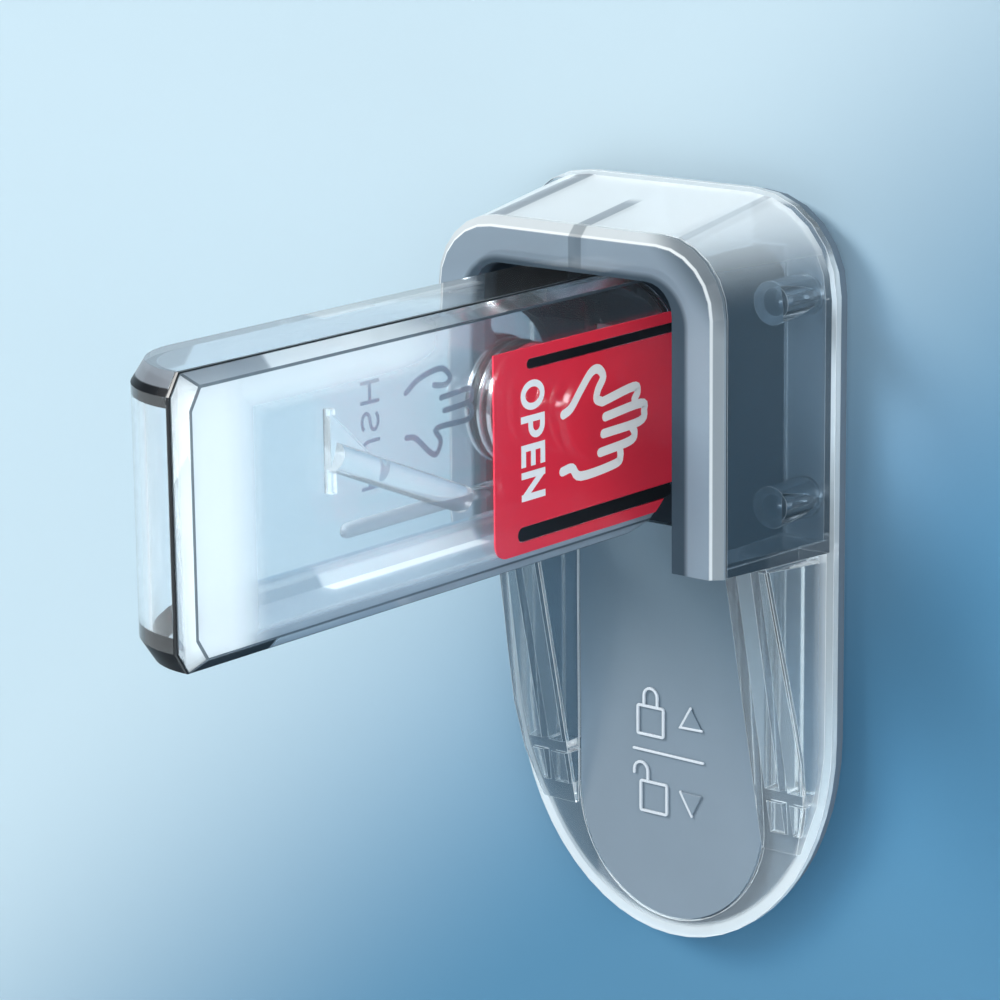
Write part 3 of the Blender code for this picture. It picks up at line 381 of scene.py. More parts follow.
def moulded_skin_group():
    """Slight unevenness of a moulded surface: colour, gloss and height that drift over it."""
    group = bpy.data.node_groups.new("moulded_skin", "ShaderNodeTree")
    sockets = group.interface
    sockets.new_socket("Color", in_out="INPUT", socket_type="NodeSocketColor")
    for name in ("Drift", "Gloss Low", "Gloss High", "Scale"):
        sockets.new_socket(name, in_out="INPUT", socket_type="NodeSocketFloat")
    sockets.new_socket("Color", in_out="OUTPUT", socket_type="NodeSocketColor")
    sockets.new_socket("Roughness", in_out="OUTPUT", socket_type="NodeSocketFloat")
    sockets.new_socket("Height", in_out="OUTPUT", socket_type="NodeSocketFloat")
    links = group.links
    given = group.nodes.new("NodeGroupInput")
    made = group.nodes.new("NodeGroupOutput")
    place = group.nodes.new("ShaderNodeTexCoord")
    cloud = group.nodes.new("ShaderNodeTexNoise")
    cloud.inputs["Detail"].default_value = 4.0
    links.new(place.outputs["Object"], cloud.inputs["Vector"])
    links.new(given.outputs["Scale"], cloud.inputs["Scale"])
    gloss = (given.outputs["Gloss Low"], given.outputs["Gloss High"])
    links.new(ramp(group, cloud.outputs["Fac"], *CLOUD_SPAN, *gloss), made.inputs["Roughness"])
    shade = every(group, cloud.outputs["Fac"], given.outputs["Drift"])
    links.new(between_colors(group, given.outputs["Color"], BLACK, shade), made.inputs["Color"])
    grain = group.nodes.new("ShaderNodeTexNoise")
    grain.inputs["Scale"].default_value = 2600.0
    grain.inputs["Detail"].default_value = 2.0
    links.new(place.outputs["Object"], grain.inputs["Vector"])
    links.new(grain.outputs["Fac"], made.inputs["Height"])
    return group


def wear_skin(tree, shader, skin, color, drift, gloss, scale):
    """Feed one material from the shared skin, with its own values."""
    node = tree.nodes.new("ShaderNodeGroup")
    node.node_tree = skin
    node.inputs["Color"].default_value = (*color, 1.0)
    node.inputs["Drift"].default_value = drift
    node.inputs["Gloss Low"].default_value = gloss[0]
    node.inputs["Gloss High"].default_value = gloss[1]
    node.inputs["Scale"].default_value = scale
    tree.links.new(node.outputs["Color"], shader.inputs["Base Color"])
    tree.links.new(node.outputs["Roughness"], shader.inputs["Roughness"])
    return node


def raise_grain(tree, shader, node, strength):
    """Turn the skin's height into a fine grain."""
    bump = tree.nodes.new("ShaderNodeBump")
    bump.inputs["Strength"].default_value = strength
    bump.inputs["Distance"].default_value = GRAIN_DEPTH * MM
    tree.links.new(node.outputs["Height"], bump.inputs["Height"])
    tree.links.new(bump.outputs["Normal"], shader.inputs["Normal"])


def feed(tree, value, socket):
    """Link a value to a socket, or set it there as a plain colour or number."""
    if isinstance(value, bpy.types.NodeSocket):
        tree.links.new(value, socket)
    elif isinstance(value, tuple):
        socket.default_value = (*value, 1.0)
    else:
        socket.default_value = value


def combine(tree, operation, *values):
    """One value from several, taken two at a time by the named operation."""
    result = values[0]
    for value in values[1:]:
        node = tree.nodes.new("ShaderNodeMath")
        node.operation = operation
        feed(tree, result, node.inputs[0])
        feed(tree, value, node.inputs[1])
        result = node.outputs["Value"]
    return result


def every(tree, *masks):
    """On where all the masks are on. A number among them weakens the rest."""
    return combine(tree, "MULTIPLY", *masks)


def most(tree, *masks):
    """The strongest of the masks at each place."""
    return combine(tree, "MAXIMUM", *masks)


def ramp(tree, value, start, end, low, high, shape="LINEAR"):
    """A value that runs from low to high while another runs from start to end."""
    span = tree.nodes.new("ShaderNodeMapRange")
    span.interpolation_type = shape
    span.inputs["From Min"].default_value = start
    span.inputs["From Max"].default_value = end
    feed(tree, low, span.inputs["To Min"])
    feed(tree, high, span.inputs["To Max"])
    tree.links.new(value, span.inputs["Value"])
    return span.outputs["Result"]


def along(tree, kind, direction):
    """How far a place, or how much the way a face looks, lies along a direction of its own body."""
    place = tree.nodes.new("ShaderNodeTexCoord")
    amount = tree.nodes.new("ShaderNodeVectorMath")
    amount.operation = "DOT_PRODUCT"
    amount.inputs[1].default_value = direction
    tree.links.new(place.outputs[kind], amount.inputs[0])
    return amount.outputs["Value"]


def fade_along(tree, direction, start, end, low, high):
    """A value that runs from low to high along a direction, between two places in millimetres."""
    return ramp(tree, along(tree, "Object", direction), start * MM, end * MM, low, high, "SMOOTHSTEP")


def rise(tree, direction, start, end):
    """Off up to one place along a direction, and on from another, in millimetres."""
    return fade_along(tree, direction, start, end, 0.0, 1.0)


def fall(tree, direction, start, end):
    """On up to one place along a direction, and off from another, in millimetres."""
    return fade_along(tree, direction, start, end, 1.0, 0.0)


def stripe(tree, direction, start, end, soft):
    """On between two places along a direction, in millimetres, with soft edges outside them."""
    return every(tree, rise(tree, direction, start - soft, start), fall(tree, direction, end, end + soft))


def facing(tree, direction, start, end, low, high):
    """A value that runs from low to high as a face turns towards a direction of its own body."""
    return ramp(tree, along(tree, "Normal", direction), start, end, low, high)


def leaning(tree, direction):
    """On for faces that lean towards a direction and don't face it."""
    turned = facing(tree, direction, *LEAN_TURN, 0.0, 1.0)
    return every(tree, turned, facing(tree, direction, *FLAT_TURN, 1.0, 0.0))


def across_and_up(tree):
    """The X and the Z of a place of its own body, in metres."""
    place = tree.nodes.new("ShaderNodeTexCoord")
    split = tree.nodes.new("ShaderNodeSeparateXYZ")
    tree.links.new(place.outputs["Object"], split.inputs["Vector"])
    return split.outputs["X"], split.outputs["Z"]


def straight_length(tree, across, upward):
    """The straight way to a place that lies so far across and upward."""
    join = tree.nodes.new("ShaderNodeCombineXYZ")
    feed(tree, across, join.inputs["X"])
    feed(tree, upward, join.inputs["Z"])
    length = tree.nodes.new("ShaderNodeVectorMath")
    length.operation = "LENGTH"
    tree.links.new(join.outputs["Vector"], length.inputs[0])
    return length.outputs["Value"]


def between_colors(tree, low, high, where):
    """The low colour where the mask is off, and the high one where it is on."""
    mix = tree.nodes.new("ShaderNodeMix")
    mix.data_type = "RGBA"
    feed(tree, low, mix.inputs["A"])
    feed(tree, high, mix.inputs["B"])
    feed(tree, where, mix.inputs["Factor"])
    return mix.outputs["Result"]


def see_through(name, skin, color, gloss, lamp_tint, veil):
    """Polished see-through plastic with a milky veil.

    Lamps shine through it with lamp_tint. veil is a function that gives, for a node tree,
    the veil's colour and its share of the surface.
    """
    material, tree, glass = new_material(name)
    wear_skin(tree, glass, skin, color, CLEAR_DRIFT, gloss, CLEAR_SCALE)
    glass.inputs["Transmission Weight"].default_value = 1.0
    glass.inputs["IOR"].default_value = PLASTIC_INDEX
    milk = tree.nodes.new("ShaderNodeBsdfPrincipled")
    milk.inputs["Roughness"].default_value = 0.3
    milk.inputs["Specular IOR Level"].default_value = 0.02
    veil_color, veil_share = veil(tree)
    feed(tree, veil_color, milk.inputs["Base Color"])
    body = tree.nodes.new("ShaderNodeMixShader")
    feed(tree, veil_share, body.inputs["Fac"])
    tree.links.new(glass.outputs["BSDF"], body.inputs[1])
    tree.links.new(milk.outputs["BSDF"], body.inputs[2])
    path = tree.nodes.new("ShaderNodeLightPath")
    clear = open_back(tree, body.outputs["Shader"], path.outputs["Is Shadow Ray"])
    clear.inputs["Color"].default_value = (*lamp_tint, 1.0)
    return material


def arm_veil(tree):
    """Layers of white, grey and black that the clear arm shows on its cover, faces, ribs and nose, the
    grey and black on the nose's bevels being painted shade.
    """
    beside_ends = every(
        tree, facing(tree, OUT, *END_TURN, 1.0, 0.0), facing(tree, INWARD, *END_TURN, 1.0, 0.0))
    cover = every(tree, rise(tree, RIGHT, *COVER_FACE), beside_ends)
    behind_nose = every(tree, cover, rise(tree, OUT, *NOSE_WHITE), fall(tree, OUT, *NOSE_TIP))
    along_top = every(tree, cover, rise(tree, UP, *COVER_TOP), rise(tree, OUT, *COVER_TOP_START))
    top = every(tree, rise(tree, UP, *TOP_FACE), rise(tree, OUT, *TOP_FACE_START))
    bottom = every(tree, fall(tree, UP, *BOTTOM_FACE), fall(tree, OUT, *BOTTOM_FACE_END))
    ribs = every(
        tree, rise(tree, RIGHT, *RIBS_LEFT), fall(tree, RIGHT, *RIBS_RIGHT),
        rise(tree, OUT, *RIBS_REAR), fall(tree, OUT, *RIBS_FRONT))
    rail = every(tree, ribs, rise(tree, UP, *RAIL_LOW), fall(tree, UP, *RAIL_HIGH))
    nose = rise(tree, OUT, *NOSE_START)
    upper_bevel = every(tree, nose, leaning(tree, UP))
    shaded_lower_bevel = every(tree, nose, leaning(tree, DOWN))
    shade_below_upper_bevel = every(tree, upper_bevel, fall(tree, UP, *BEVEL_SHADE))
    # Mask, share of the surface and colour, each layer over those before it
    layers = [
        (top, 0.30, VEIL_BLUE),
        (bottom, 0.50, VEIL_GREY),
        (ribs, 0.24, VEIL_WHITE),
        (rail, 0.75, RAIL_GREY),
        (along_top, 0.45, VEIL_WHITE),
        (behind_nose, 0.62, VEIL_WHITE),
        # Painted shade on the nose's bevels: grey on the upper one, black below its crease and on the
        # lower one
        (upper_bevel, 0.70, RAIL_GREY),
        (shade_below_upper_bevel, 0.95, SEAL_BLACK),
        (shaded_lower_bevel, 0.98, SEAL_BLACK),
    ]
    color = VEIL_WHITE
    share = fade_along(tree, OUT, *ARM_PLAIN, *ARM_PLAIN_SHARE)
    for mask, amount, tone in layers:
        color = between_colors(tree, color, tone, mask)
        share = most(tree, share, every(tree, mask, amount))
    return color, share


def base_painted_light_veil(tree):
    """A white band of painted highlight round the plate's rim, with a half ellipse at the bottom, and a
    bluish left rail of painted shade.
    """
    across, upward = across_and_up(tree)
    below = combine(tree, "MINIMUM", combine(tree, "ADD", upward, -ELLIPSE_CENTRE * MM), 0.0)
    reach = straight_length(
        tree,
        combine(tree, "DIVIDE", across, PLATE_HALF_WIDTH * MM),
        combine(tree, "DIVIDE", below, ELLIPSE_RISE * MM))
    # Painted highlight on the rim and painted shade on the left rail
    rim = most(tree, ramp(tree, reach, *RIM_BAND, 0.0, 1.0), rise(tree, UP, *RIM_TOP))
    shaded_left_rail = every(tree, fall(tree, RIGHT, *LEFT_RAIL), combine(tree, "SUBTRACT", 1.0, rim))
    share = most(
        tree, BASE_SHARE, every(tree, rim, RIM_SHARE), every(tree, shaded_left_rail, LEFT_RAIL_SHARE))
    return between_colors(tree, RIM_PAINTED_HIGHLIGHT, RAIL_PAINTED_SHADE, shaded_left_rail), share


def hood_painted_light_veil(tree):
    """Painted light in milky white on top, with grey bars of painted shade towards the wall, clearing
    downwards and darkening there with painted shade.
    """
    # Painted light and shade: white on top, dark lower down, and grey bars of shade
    color = between_colors(tree, HOOD_PAINTED_SHADE, VEIL_WHITE, rise(tree, UP, *HOOD_PAINTED_LIGHT_SPAN))
    bars = most(
        tree,
        every(tree, stripe(tree, RIGHT, *BAR_MIDDLE), rise(tree, OUT, *BAR_MIDDLE_START)),
        stripe(tree, RIGHT, *BAR_LEFT),
        every(tree, stripe(tree, RIGHT, *BAR_RIGHT), BAR_RIGHT_STRENGTH))
    bars = every(tree, bars, rise(tree, UP, *BARS_LOW))
    share = most(tree, fade_along(tree, UP, *HOOD_THICKENS, *HOOD_SHARE), every(tree, bars, BAR_SHARE))
    return between_colors(tree, color, BAR_PAINTED_SHADE, bars), share


def round_the_opening(tree):
    """On close to the mouth's opening, with round upper corners."""
    across, upward = across_and_up(tree)
    aside = most(tree, across, every(tree, across, -1.0))
    past_side = most(tree, combine(tree, "ADD", aside, (LIP_CORNER - LIP_HALF_WIDTH) * MM), 0.0)
    past_top = most(tree, combine(tree, "ADD", upward, (LIP_CORNER - LIP_TOP) * MM), 0.0)
    reach = straight_length(tree, past_side, past_top)
    return ramp(tree, reach, (LIP_CORNER - LIP_SOFT) * MM, (LIP_CORNER + LIP_SOFT) * MM, 1.0, 0.0)


def mouth_veil_and_painted_light(tree):
    """Smoke grey in front, with a paler bevel, a painted highlight on the crease, and painted shade in the
    upper right corner, in a bar at the top, round the opening and, nearly black, inside.
    """
    flat = between_colors(tree, MOUTH_LOW, MOUTH_HIGH, rise(tree, UP, *FRONT_DARKENS))
    bevel = between_colors(tree, BEVEL_LOW, BEVEL_HIGH, rise(tree, UP, *BEVEL_PALES))
    front = between_colors(tree, bevel, flat, rise(tree, OUT, *FRONT_FLAT))
    # Painted light from here on: shade in the upper right corner, a highlight on the crease, a bar of
    # shade at the top, shade round the opening and nearly black shade inside
    corner = fade_along(tree, UP_RIGHT, *CORNER_SHADE_SPAN, 0.0, CORNER_SHADE_SHARE)
    front = between_colors(tree, front, MOUTH_PAINTED_SHADE, corner)
    crease = every(tree, rise(tree, OUT, *CREASE_HIGHLIGHT_START), fall(tree, OUT, *CREASE_HIGHLIGHT_END))
    front = between_colors(tree, front, EDGE_PAINTED_HIGHLIGHT, crease)
    bar_strength = fade_along(tree, UP, *BEZEL_SHADE_BAR, 0.0, BEZEL_SHADE_BAR_SHARE)
    bar = every(tree, stripe(tree, RIGHT, *BAR_MIDDLE), bar_strength)
    front = between_colors(tree, front, MOUTH_PAINTED_SHADE, bar)
    lip = round_the_opening(tree)
    front = between_colors(tree, front, MOUTH_PAINTED_SHADE, lip)
    color = between_colors(tree, MOUTH_INSIDE_PAINTED_SHADE, front, rise(tree, OUT, *MOUTH_DEPTH))
    share = most(tree, fade_along(tree, OUT, *MOUTH_DEPTH, INSIDE_SHARE, FRONT_SHARE), lip)
    return color, combine(tree, "MINIMUM", share, INSIDE_SHARE)


def mouth_edge_painted_light_veil(tree):
    """Painted highlight on the bevel's edges and painted shade on the edge of the opening."""
    return between_colors(tree, EDGE_PAINTED_HIGHLIGHT, MOUTH_INSIDE_PAINTED_SHADE, round_the_opening(tree)), 0.8


def even_veil(color, share):
    """The same veil all over."""
    return lambda tree: (color, share)


def solid_plastic(name, skin, color, drift, gloss, scale, grain=0.0):
    """Opaque plastic, foam or ink, with a grain where one is asked for."""
    material, tree, shader = new_material(name)
    node = wear_skin(tree, shader, skin, color, drift, gloss, scale)
    if grain:
        raise_grain(tree, shader, node, grain)
    return material


def panel_plastic(skin):
    """Grained grey plastic, with painted shade towards the mouth."""
    material = solid_plastic("panel_grey", skin, PANEL_GREY, 0.18, (0.38, 0.52), 50.0, 0.10)
    tree = material.node_tree
    # Painted shade towards the mouth
    shade = between_colors(tree, PANEL_GREY, PANEL_PAINTED_SHADE, rise(tree, UP, *PANEL_SHADE_SPAN))
    coat = next(node for node in tree.nodes if node.type == "GROUP")
    tree.links.new(shade, coat.inputs["Color"])
    return material


def red_film(skin):
    """Glossy red film that lets a little of what is behind it show."""
    material, tree, shader = new_material("red_film")
    wear_skin(tree, shader, skin, LABEL_RED, 0.10, (0.16, 0.26), 60.0)
    shader.inputs["Alpha"].default_value = 0.74
    return material


def bright_steel():
    """Plated wire and turned steel, with fine lines round the pivot's axis."""
    material, tree, shader = new_material("plated_steel")
    place = tree.nodes.new("ShaderNodeTexCoord")
    stretch = tree.nodes.new("ShaderNodeMapping")
    stretch.inputs["Scale"].default_value = STEEL_LINES
    tree.links.new(place.outputs["Object"], stretch.inputs["Vector"])
    lines = tree.nodes.new("ShaderNodeTexNoise")
    lines.inputs["Scale"].default_value = 1.0
    lines.inputs["Detail"].default_value = 3.0
    tree.links.new(stretch.outputs["Vector"], lines.inputs["Vector"])
    tone = between_colors(tree, STEEL_DIM, STEEL_BRIGHT, lines.outputs["Fac"])
    tree.links.new(tone, shader.inputs["Base Color"])
    gloss = ramp(tree, lines.outputs["Fac"], 0.0, 1.0, *STEEL_GLOSS)
    tree.links.new(gloss, shader.inputs["Roughness"])
    shader.inputs["Metallic"].default_value = 1.0
    return material


def make_finishes():
    """Every finish by a short name.

    The pairs of numbers are roughness from low to high. In the opaque ones the number before the pair
    is the colour's drift, and those after it are the drift's scale and the grain.
    """
    skin = moulded_skin_group()
    # Painted shade: the dark veil on the arm's rounded edges
    dark = even_veil(EDGE_PAINTED_SHADE, 0.75)
    # Painted highlight: the white veil on the rounded edges of the base, hood and back plate
    white = even_veil(VEIL_WHITE, 0.7)
    grey = even_veil(BACK_GREY, 0.6)
    return {
        "arm": see_through("clear_arm", skin, CLEAR_ARM, (0.01, 0.05), ARM_TINT, arm_veil),
        "arm_edge_painted_shade": see_through("arm_edge_painted_shade", skin, EDGE_SMOKE, (0.02, 0.06), ARM_TINT, dark),
        "base": see_through("clear_base", skin, CLEAR_BASE, (0.03, 0.10), BASE_TINT, base_painted_light_veil),
        "painted_highlight_edge": see_through("painted_highlight_edge", skin, CLEAR_BASE, (0.03, 0.10), BASE_TINT, white),
        "hood": see_through("clear_hood", skin, CLEAR_HOOD, (0.03, 0.10), HOOD_TINT, hood_painted_light_veil),
        "mouth": see_through("smoke_mouth", skin, SMOKE_MOUTH, (0.04, 0.10), MOUTH_TINT, mouth_veil_and_painted_light),
        # Painted highlight on the mouth's rounded edges and painted shade on the edge of its opening
        "pale_edge_painted_light": see_through("pale_edge_painted_light", skin, EDGE_SMOKE, (0.04, 0.10), MOUTH_TINT, mouth_edge_painted_light_veil),
        "back": see_through("pale_smoke", skin, PALE_SMOKE, (0.15, 0.25), BACK_TINT, grey),
        "panel": panel_plastic(skin),
        "pad": solid_plastic("pad_foam", skin, PAD_WHITE, 0.20, (0.80, 0.95), 300.0, 0.60),
        "seal": solid_plastic("seal_black", skin, SEAL_BLACK, 0.30, (0.25, 0.45), 80.0),
        "film": red_film(skin),
        "white": solid_plastic("print_white", skin, PRINT_WHITE, 0.05, (0.30, 0.45), 200.0),
        "blue_grey": solid_plastic("print_blue_grey", skin, PRINT_BLUE_GREY, 0.15, (0.35, 0.50), 200.0),
        "mark": solid_plastic("mark_painted_highlight", skin, MARK_PAINTED_HIGHLIGHT, 0.08, (0.25, 0.40), 200.0),
        "acetal": solid_plastic("acetal_ivory", skin, ACETAL_IVORY, 0.08, (0.30, 0.42), 120.0),
        "steel": bright_steel(),
    }


NODE_FINISH = {
    "adhesive_pad": "pad",
    "back_plate": "back",
    "base_frame": "base",
    "channel_panel": "panel",
    "mouth_frame": "mouth",
    "housing_hood": "hood",
    "pivot_bush": "acetal",
    "arm_shell": "arm",
    "arm_cover": "arm",
    "arm_seal": "seal",
    "open_label": "film",
}
NODE_EDGE = {
    "base_frame": (BASE_EDGE, "painted_highlight_edge"),
    "housing_hood": (BASE_EDGE, "painted_highlight_edge"),
    "back_plate": (BASE_EDGE, "painted_highlight_edge"),
    "mouth_frame": (MOUTH_EDGE, "pale_edge_painted_light"),
    "arm_shell": (ARM_EDGE, "arm_edge_painted_shade"),
    "arm_cover": (ARM_EDGE, "arm_edge_painted_shade"),
    "spring_cup": (STEEL_EDGE, "steel"),
    "pivot_bolt": (STEEL_EDGE, "steel"),
}


def round_edges(obj, width, finish_index=-1):
    """Round the sharp edges. The new faces take the finish of the given index."""
    flat = obj.modifiers.new("flat_faces", "DECIMATE")
    flat.decimate_type = "DISSOLVE"
    flat.angle_limit = math.radians(FLAT_ANGLE)
    bevel = obj.modifiers.new("rounded_edges", "BEVEL")
    bevel.width = width * MM
    bevel.segments = 2
    bevel.limit_method = "ANGLE"
    bevel.angle_limit = math.radians(BEVEL_ANGLE)
    bevel.harden_normals = True
    bevel.material = finish_index


def smooth_walls_group():
    """Shade round walls smoothly and keep sharp edges crisp."""
    group = bpy.data.node_groups.new("smooth_walls", "GeometryNodeTree")
    group.interface.new_socket("Geometry", in_out="INPUT", socket_type="NodeSocketGeometry")
    group.interface.new_socket("Geometry", in_out="OUTPUT", socket_type="NodeSocketGeometry")
    given = group.nodes.new("NodeGroupInput")
    made = group.nodes.new("NodeGroupOutput")
    angle = group.nodes.new("GeometryNodeInputMeshEdgeAngle")
    sharp = group.nodes.new("FunctionNodeCompare")
    sharp.operation = "GREATER_THAN"
    sharp.inputs["B"].default_value = math.radians(SHARP_ANGLE)
    shade = group.nodes.new("GeometryNodeSetMeshNormal")
    shade.inputs["Remove Custom"].default_value = True
    group.links.new(angle.outputs["Unsigned Angle"], sharp.inputs["A"])
    group.links.new(given.outputs["Geometry"], shade.inputs["Mesh"])
    group.links.new(sharp.outputs["Result"], shade.inputs["Edge Sharpness"])
    group.links.new(shade.outputs["Mesh"], made.inputs["Geometry"])
    return group


def dress_solids(nodes, finishes):
    """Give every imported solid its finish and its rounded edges. Those not named are steel."""
    smooth_walls = smooth_walls_group()
    for name, obj in nodes.items():
        obj.data.materials.clear()
        obj.data.materials.append(finishes[NODE_FINISH.get(name, "steel")])
        weld = obj.modifiers.new("joined_facets", "WELD")
        weld.merge_threshold = WELD_GAP * MM
        obj.modifiers.new("smooth_walls", "NODES").node_group = smooth_walls
        if name in NODE_EDGE:
            width, edge_finish = NODE_EDGE[name]
            obj.data.materials.append(finishes[edge_finish])
            round_edges(obj, width, 1)


# Flat strokes for the print and the marks

def arc(centre, radii, start, end, steps=10):
    """Points along a part of an ellipse, between two angles in degrees."""
    points = []
    for k in range(steps + 1):
        angle = math.radians(start + (end - start) * k / steps)
        points.append((centre[0] + radii[0] * math.cos(angle), centre[1] + radii[1] * math.sin(angle)))
    return points


def bend(points, steps=5):
    """A smooth line through a few chosen points."""
    spots = [Vector(point) for point in points]
    spots = [spots[0] * 2 - spots[1]] + spots + [spots[-1] * 2 - spots[-2]]
    line = []
    for a, b, c, d in zip(spots, spots[1:], spots[2:], spots[3:]):
        for k in range(steps):
            t = k / steps
            pull = b * 2 + (c - a) * t + (a * 2 - b * 5 + c * 4 - d) * t ** 2
            line.append((pull + (b * 3 - a - c * 3 + d) * t ** 3) * 0.5)
    return [tuple(spot) for spot in line] + [tuple(points[-1])]


def stroke(points, width, closed=False, round_ends=False):
    """A flat line of even width: its corner points and its faces."""
    spots = [Vector(point) for point in points]
    count = len(spots)
    corners = []
    for i, spot in enumerate(spots):
        ways = []
        if closed or i > 0:
            ways.append((spot - spots[i - 1]).normalized())
        if closed or i < count - 1:
            ways.append((spots[(i + 1) % count] - spot).normalized())
        way = sum(ways, Vector((0.0, 0.0))).normalized()
        side = Vector((-way.y, way.x)) * (width / 2 / max(0.5, way.dot(ways[0])))
        corners += [spot + side, spot - side]
    faces = []
    for i in range(count if closed else count - 1):
        j = (i + 1) % count
        faces.append((2 * i, 2 * i + 1, 2 * j + 1, 2 * j))
    if round_ends:
        faces.append(round_end(corners, 0, 1))
        faces.append(round_end(corners, 2 * count - 1, 2 * count - 2))
    return corners, faces


def round_end(corners, first, last):
    """Add half a disc between two corners at a stroke's end."""
    middle = (corners[first] + corners[last]) / 2
    out = corners[first] - middle
    turned = Vector((-out.y, out.x))
    start = len(corners)
    steps = 6
    for k in range(1, steps):
        angle = math.pi * k / steps
        corners.append(middle + out * math.cos(angle) + turned * math.sin(angle))
    return (first, *range(start, start + steps - 1), last)


def add_piece(name, shaping, material, body):
    """A looks piece from a finished shape, which rides on one of the lock's bodies."""
    mesh = bpy.data.meshes.new(name)
    shaping.to_mesh(mesh)
    shaping.free()
    mesh.materials.append(material)
    piece = bpy.data.objects.new(name, mesh)
    bpy.context.scene.collection.objects.link(piece)
    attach(piece, body)
    return piece


def lay_flat(name, strokes, place, outward, thick, material, body, edge=0.0):
    """One piece from flat strokes, laid on a face of the lock and given a thickness."""
    shaping = bmesh.new()
    for number, (corners, faces) in enumerate(strokes):
        step = mm(outward) * STROKE_STEP * number
        points = [shaping.verts.new(mm(place(*corner)) + step) for corner in corners]
        for face in faces:
            shaping.faces.new([points[index] for index in face])
    for face in shaping.faces:
        face.normal_update()
        if face.normal.dot(Vector(outward)) < 0.0:
            face.normal_flip()
    piece = add_piece(name, shaping, material, body)
    thickness = piece.modifiers.new("thickness", "SOLIDIFY")
    thickness.thickness = thick * MM
    thickness.offset = 1.0
    if edge:
        round_edges(piece, edge)


# Letters, each in a box that starts at 0 and is as wide as asked

def letter_lines(letter, width, height, line):
    """Centre lines of one block letter, as pairs of a line and whether it is closed."""
    half = line / 2
    left, right = half, width - half
    low, high = half, height - half
    middle = height / 2
    if letter == "O":
        return [(arc((width / 2, middle), (width / 2 - half, middle - half), 0, 360, 28)[:-1], True)]
    if letter == "P":
        bowl = (high - middle + half) / 2
        turn = arc((right - bowl, high - bowl), (bowl, bowl), 90, -90)
        stem = [(left, 0), (left, height)]
        return [(stem, False), ([(left, high)] + turn + [(left, high - 2 * bowl)], False)]
    if letter == "E":
        bars = [([(left, level), (width, level)], False) for level in (low, middle, high)]
        return [([(left, 0), (left, height)], False)] + bars
    if letter == "N":
        stems = [([(x, 0), (x, height)], False) for x in (left, right)]
        return stems + [([(left, high), (right, low)], False)]
    if letter == "U":
        turn = arc((width / 2, low + width / 2 - half), (width / 2 - half, width / 2 - half), 180, 360)
        return [([(left, height)] + turn + [(right, height)], False)]
    if letter == "S":
        radii = (width / 2 - half, (high - low) / 4)
        upper = arc((width / 2, high - radii[1]), radii, 30, 270)
        lower = arc((width / 2, low + radii[1]), radii, 90, -150)
        return [(upper + lower[1:], False)]
    stems = [([(x, 0), (x, height)], False) for x in (left, right)]
    return stems + [([(left, middle), (right, middle)], False)]


def word_strokes(widths, height, gap, line):
    """Strokes of a word, along the reading direction and up the letters."""
    strokes = []
    start = 0.0
    for letter, width in widths.items():
        for points, closed in letter_lines(letter, width, height, line):
            strokes.append(stroke([(start + s, t) for s, t in points], line, closed))
        start += width + gap
    return strokes


# Pieces on the arm

def make_open_print(finishes):
    """The word OPEN, read downwards, and a hand that points the way, on the red label."""
    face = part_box("open_label")[1].x / MM + PRINT_LIFT

    def word_place(s, t):
        return (face, OPEN_BASELINE_Y + t, OPEN_START_Z - s)

    def hand_place(y, z):
        return (face, y, z)

    white = finishes["white"]
    word = word_strokes(OPEN_WIDTHS, OPEN_HEIGHT, OPEN_GAP, OPEN_STROKE)
    lay_flat("open_word", word, word_place, RIGHT, PRINT_THICK, white, "arm")
    thumb = [(-32.0, 26.3), (-30.4, 26.9), (-28.4, 28.9), (-26.2, 30.9), (-24.6, 31.1), (-23.6, 29.9)]
    thumb += [(-24.7, 28.4), (-25.0, 27.2), (-23.8, 26.6)]
    first = [(-23.8, 26.6), (-17.2, 27.5), (-16.2, 26.7), (-16.9, 25.8)]
    second = [(-23.2, 24.5), (-15.6, 25.0), (-14.8, 23.9), (-15.8, 22.6), (-23.6, 22.3)]
    third = [(-17.6, 22.3), (-16.9, 21.2), (-18.0, 20.3), (-24.3, 19.9)]
    fourth = [(-20.2, 20.0), (-20.0, 18.6), (-21.2, 17.8), (-28.4, 17.5), (-30.3, 18.9), (-32.3, 18.8)]
    lines = [thumb, first, second, third, fourth]
    hand = [stroke(bend(line), HAND_STROKE, False, True) for line in lines]
    lay_flat("open_hand", hand, hand_place, RIGHT, PRINT_THICK, white, "arm")


def make_push_print(finishes):
    """The word PUSH and a flat hand on the arm's left face, where the arm is pushed."""
    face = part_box("arm_shell")[0].x / MM - PRINT_LIFT

    def word_place(s, t):
        return (face, PUSH_BASELINE_Y + t, PUSH_START_Z + s)

    def hand_place(y, z):
        return (face, y, z)

    ink = finishes["blue_grey"]
    word = word_strokes(PUSH_WIDTHS, PUSH_HEIGHT, PUSH_GAP, PUSH_STROKE)
    lay_flat("push_word", word, word_place, LEFT, PRINT_THICK, ink, "arm")
    thumb = [(-46.0, 29.7), (-43.2, 31.2), (-39.0, 31.8), (-37.2, 30.4), (-38.2, 29.5), (-40.4, 29.8)]
    fingers = [(-39.0, 27.9), (-33.6, 28.2), (-32.8, 27.3), (-33.6, 26.4), (-38.4, 26.1)]
    lower = [(-33.6, 26.4), (-32.8, 25.2), (-33.8, 24.1), (-40.0, 24.0), (-39.2, 22.2), (-40.6, 20.6)]
    lower += [(-44.2, 23.4), (-46.0, 23.8)]
    hand = [stroke(bend(line), PUSH_HAND_STROKE, False, True) for line in (thumb, fingers, lower)]
    lay_flat("push_hand", hand, hand_place, LEFT, PRINT_THICK, ink, "arm")


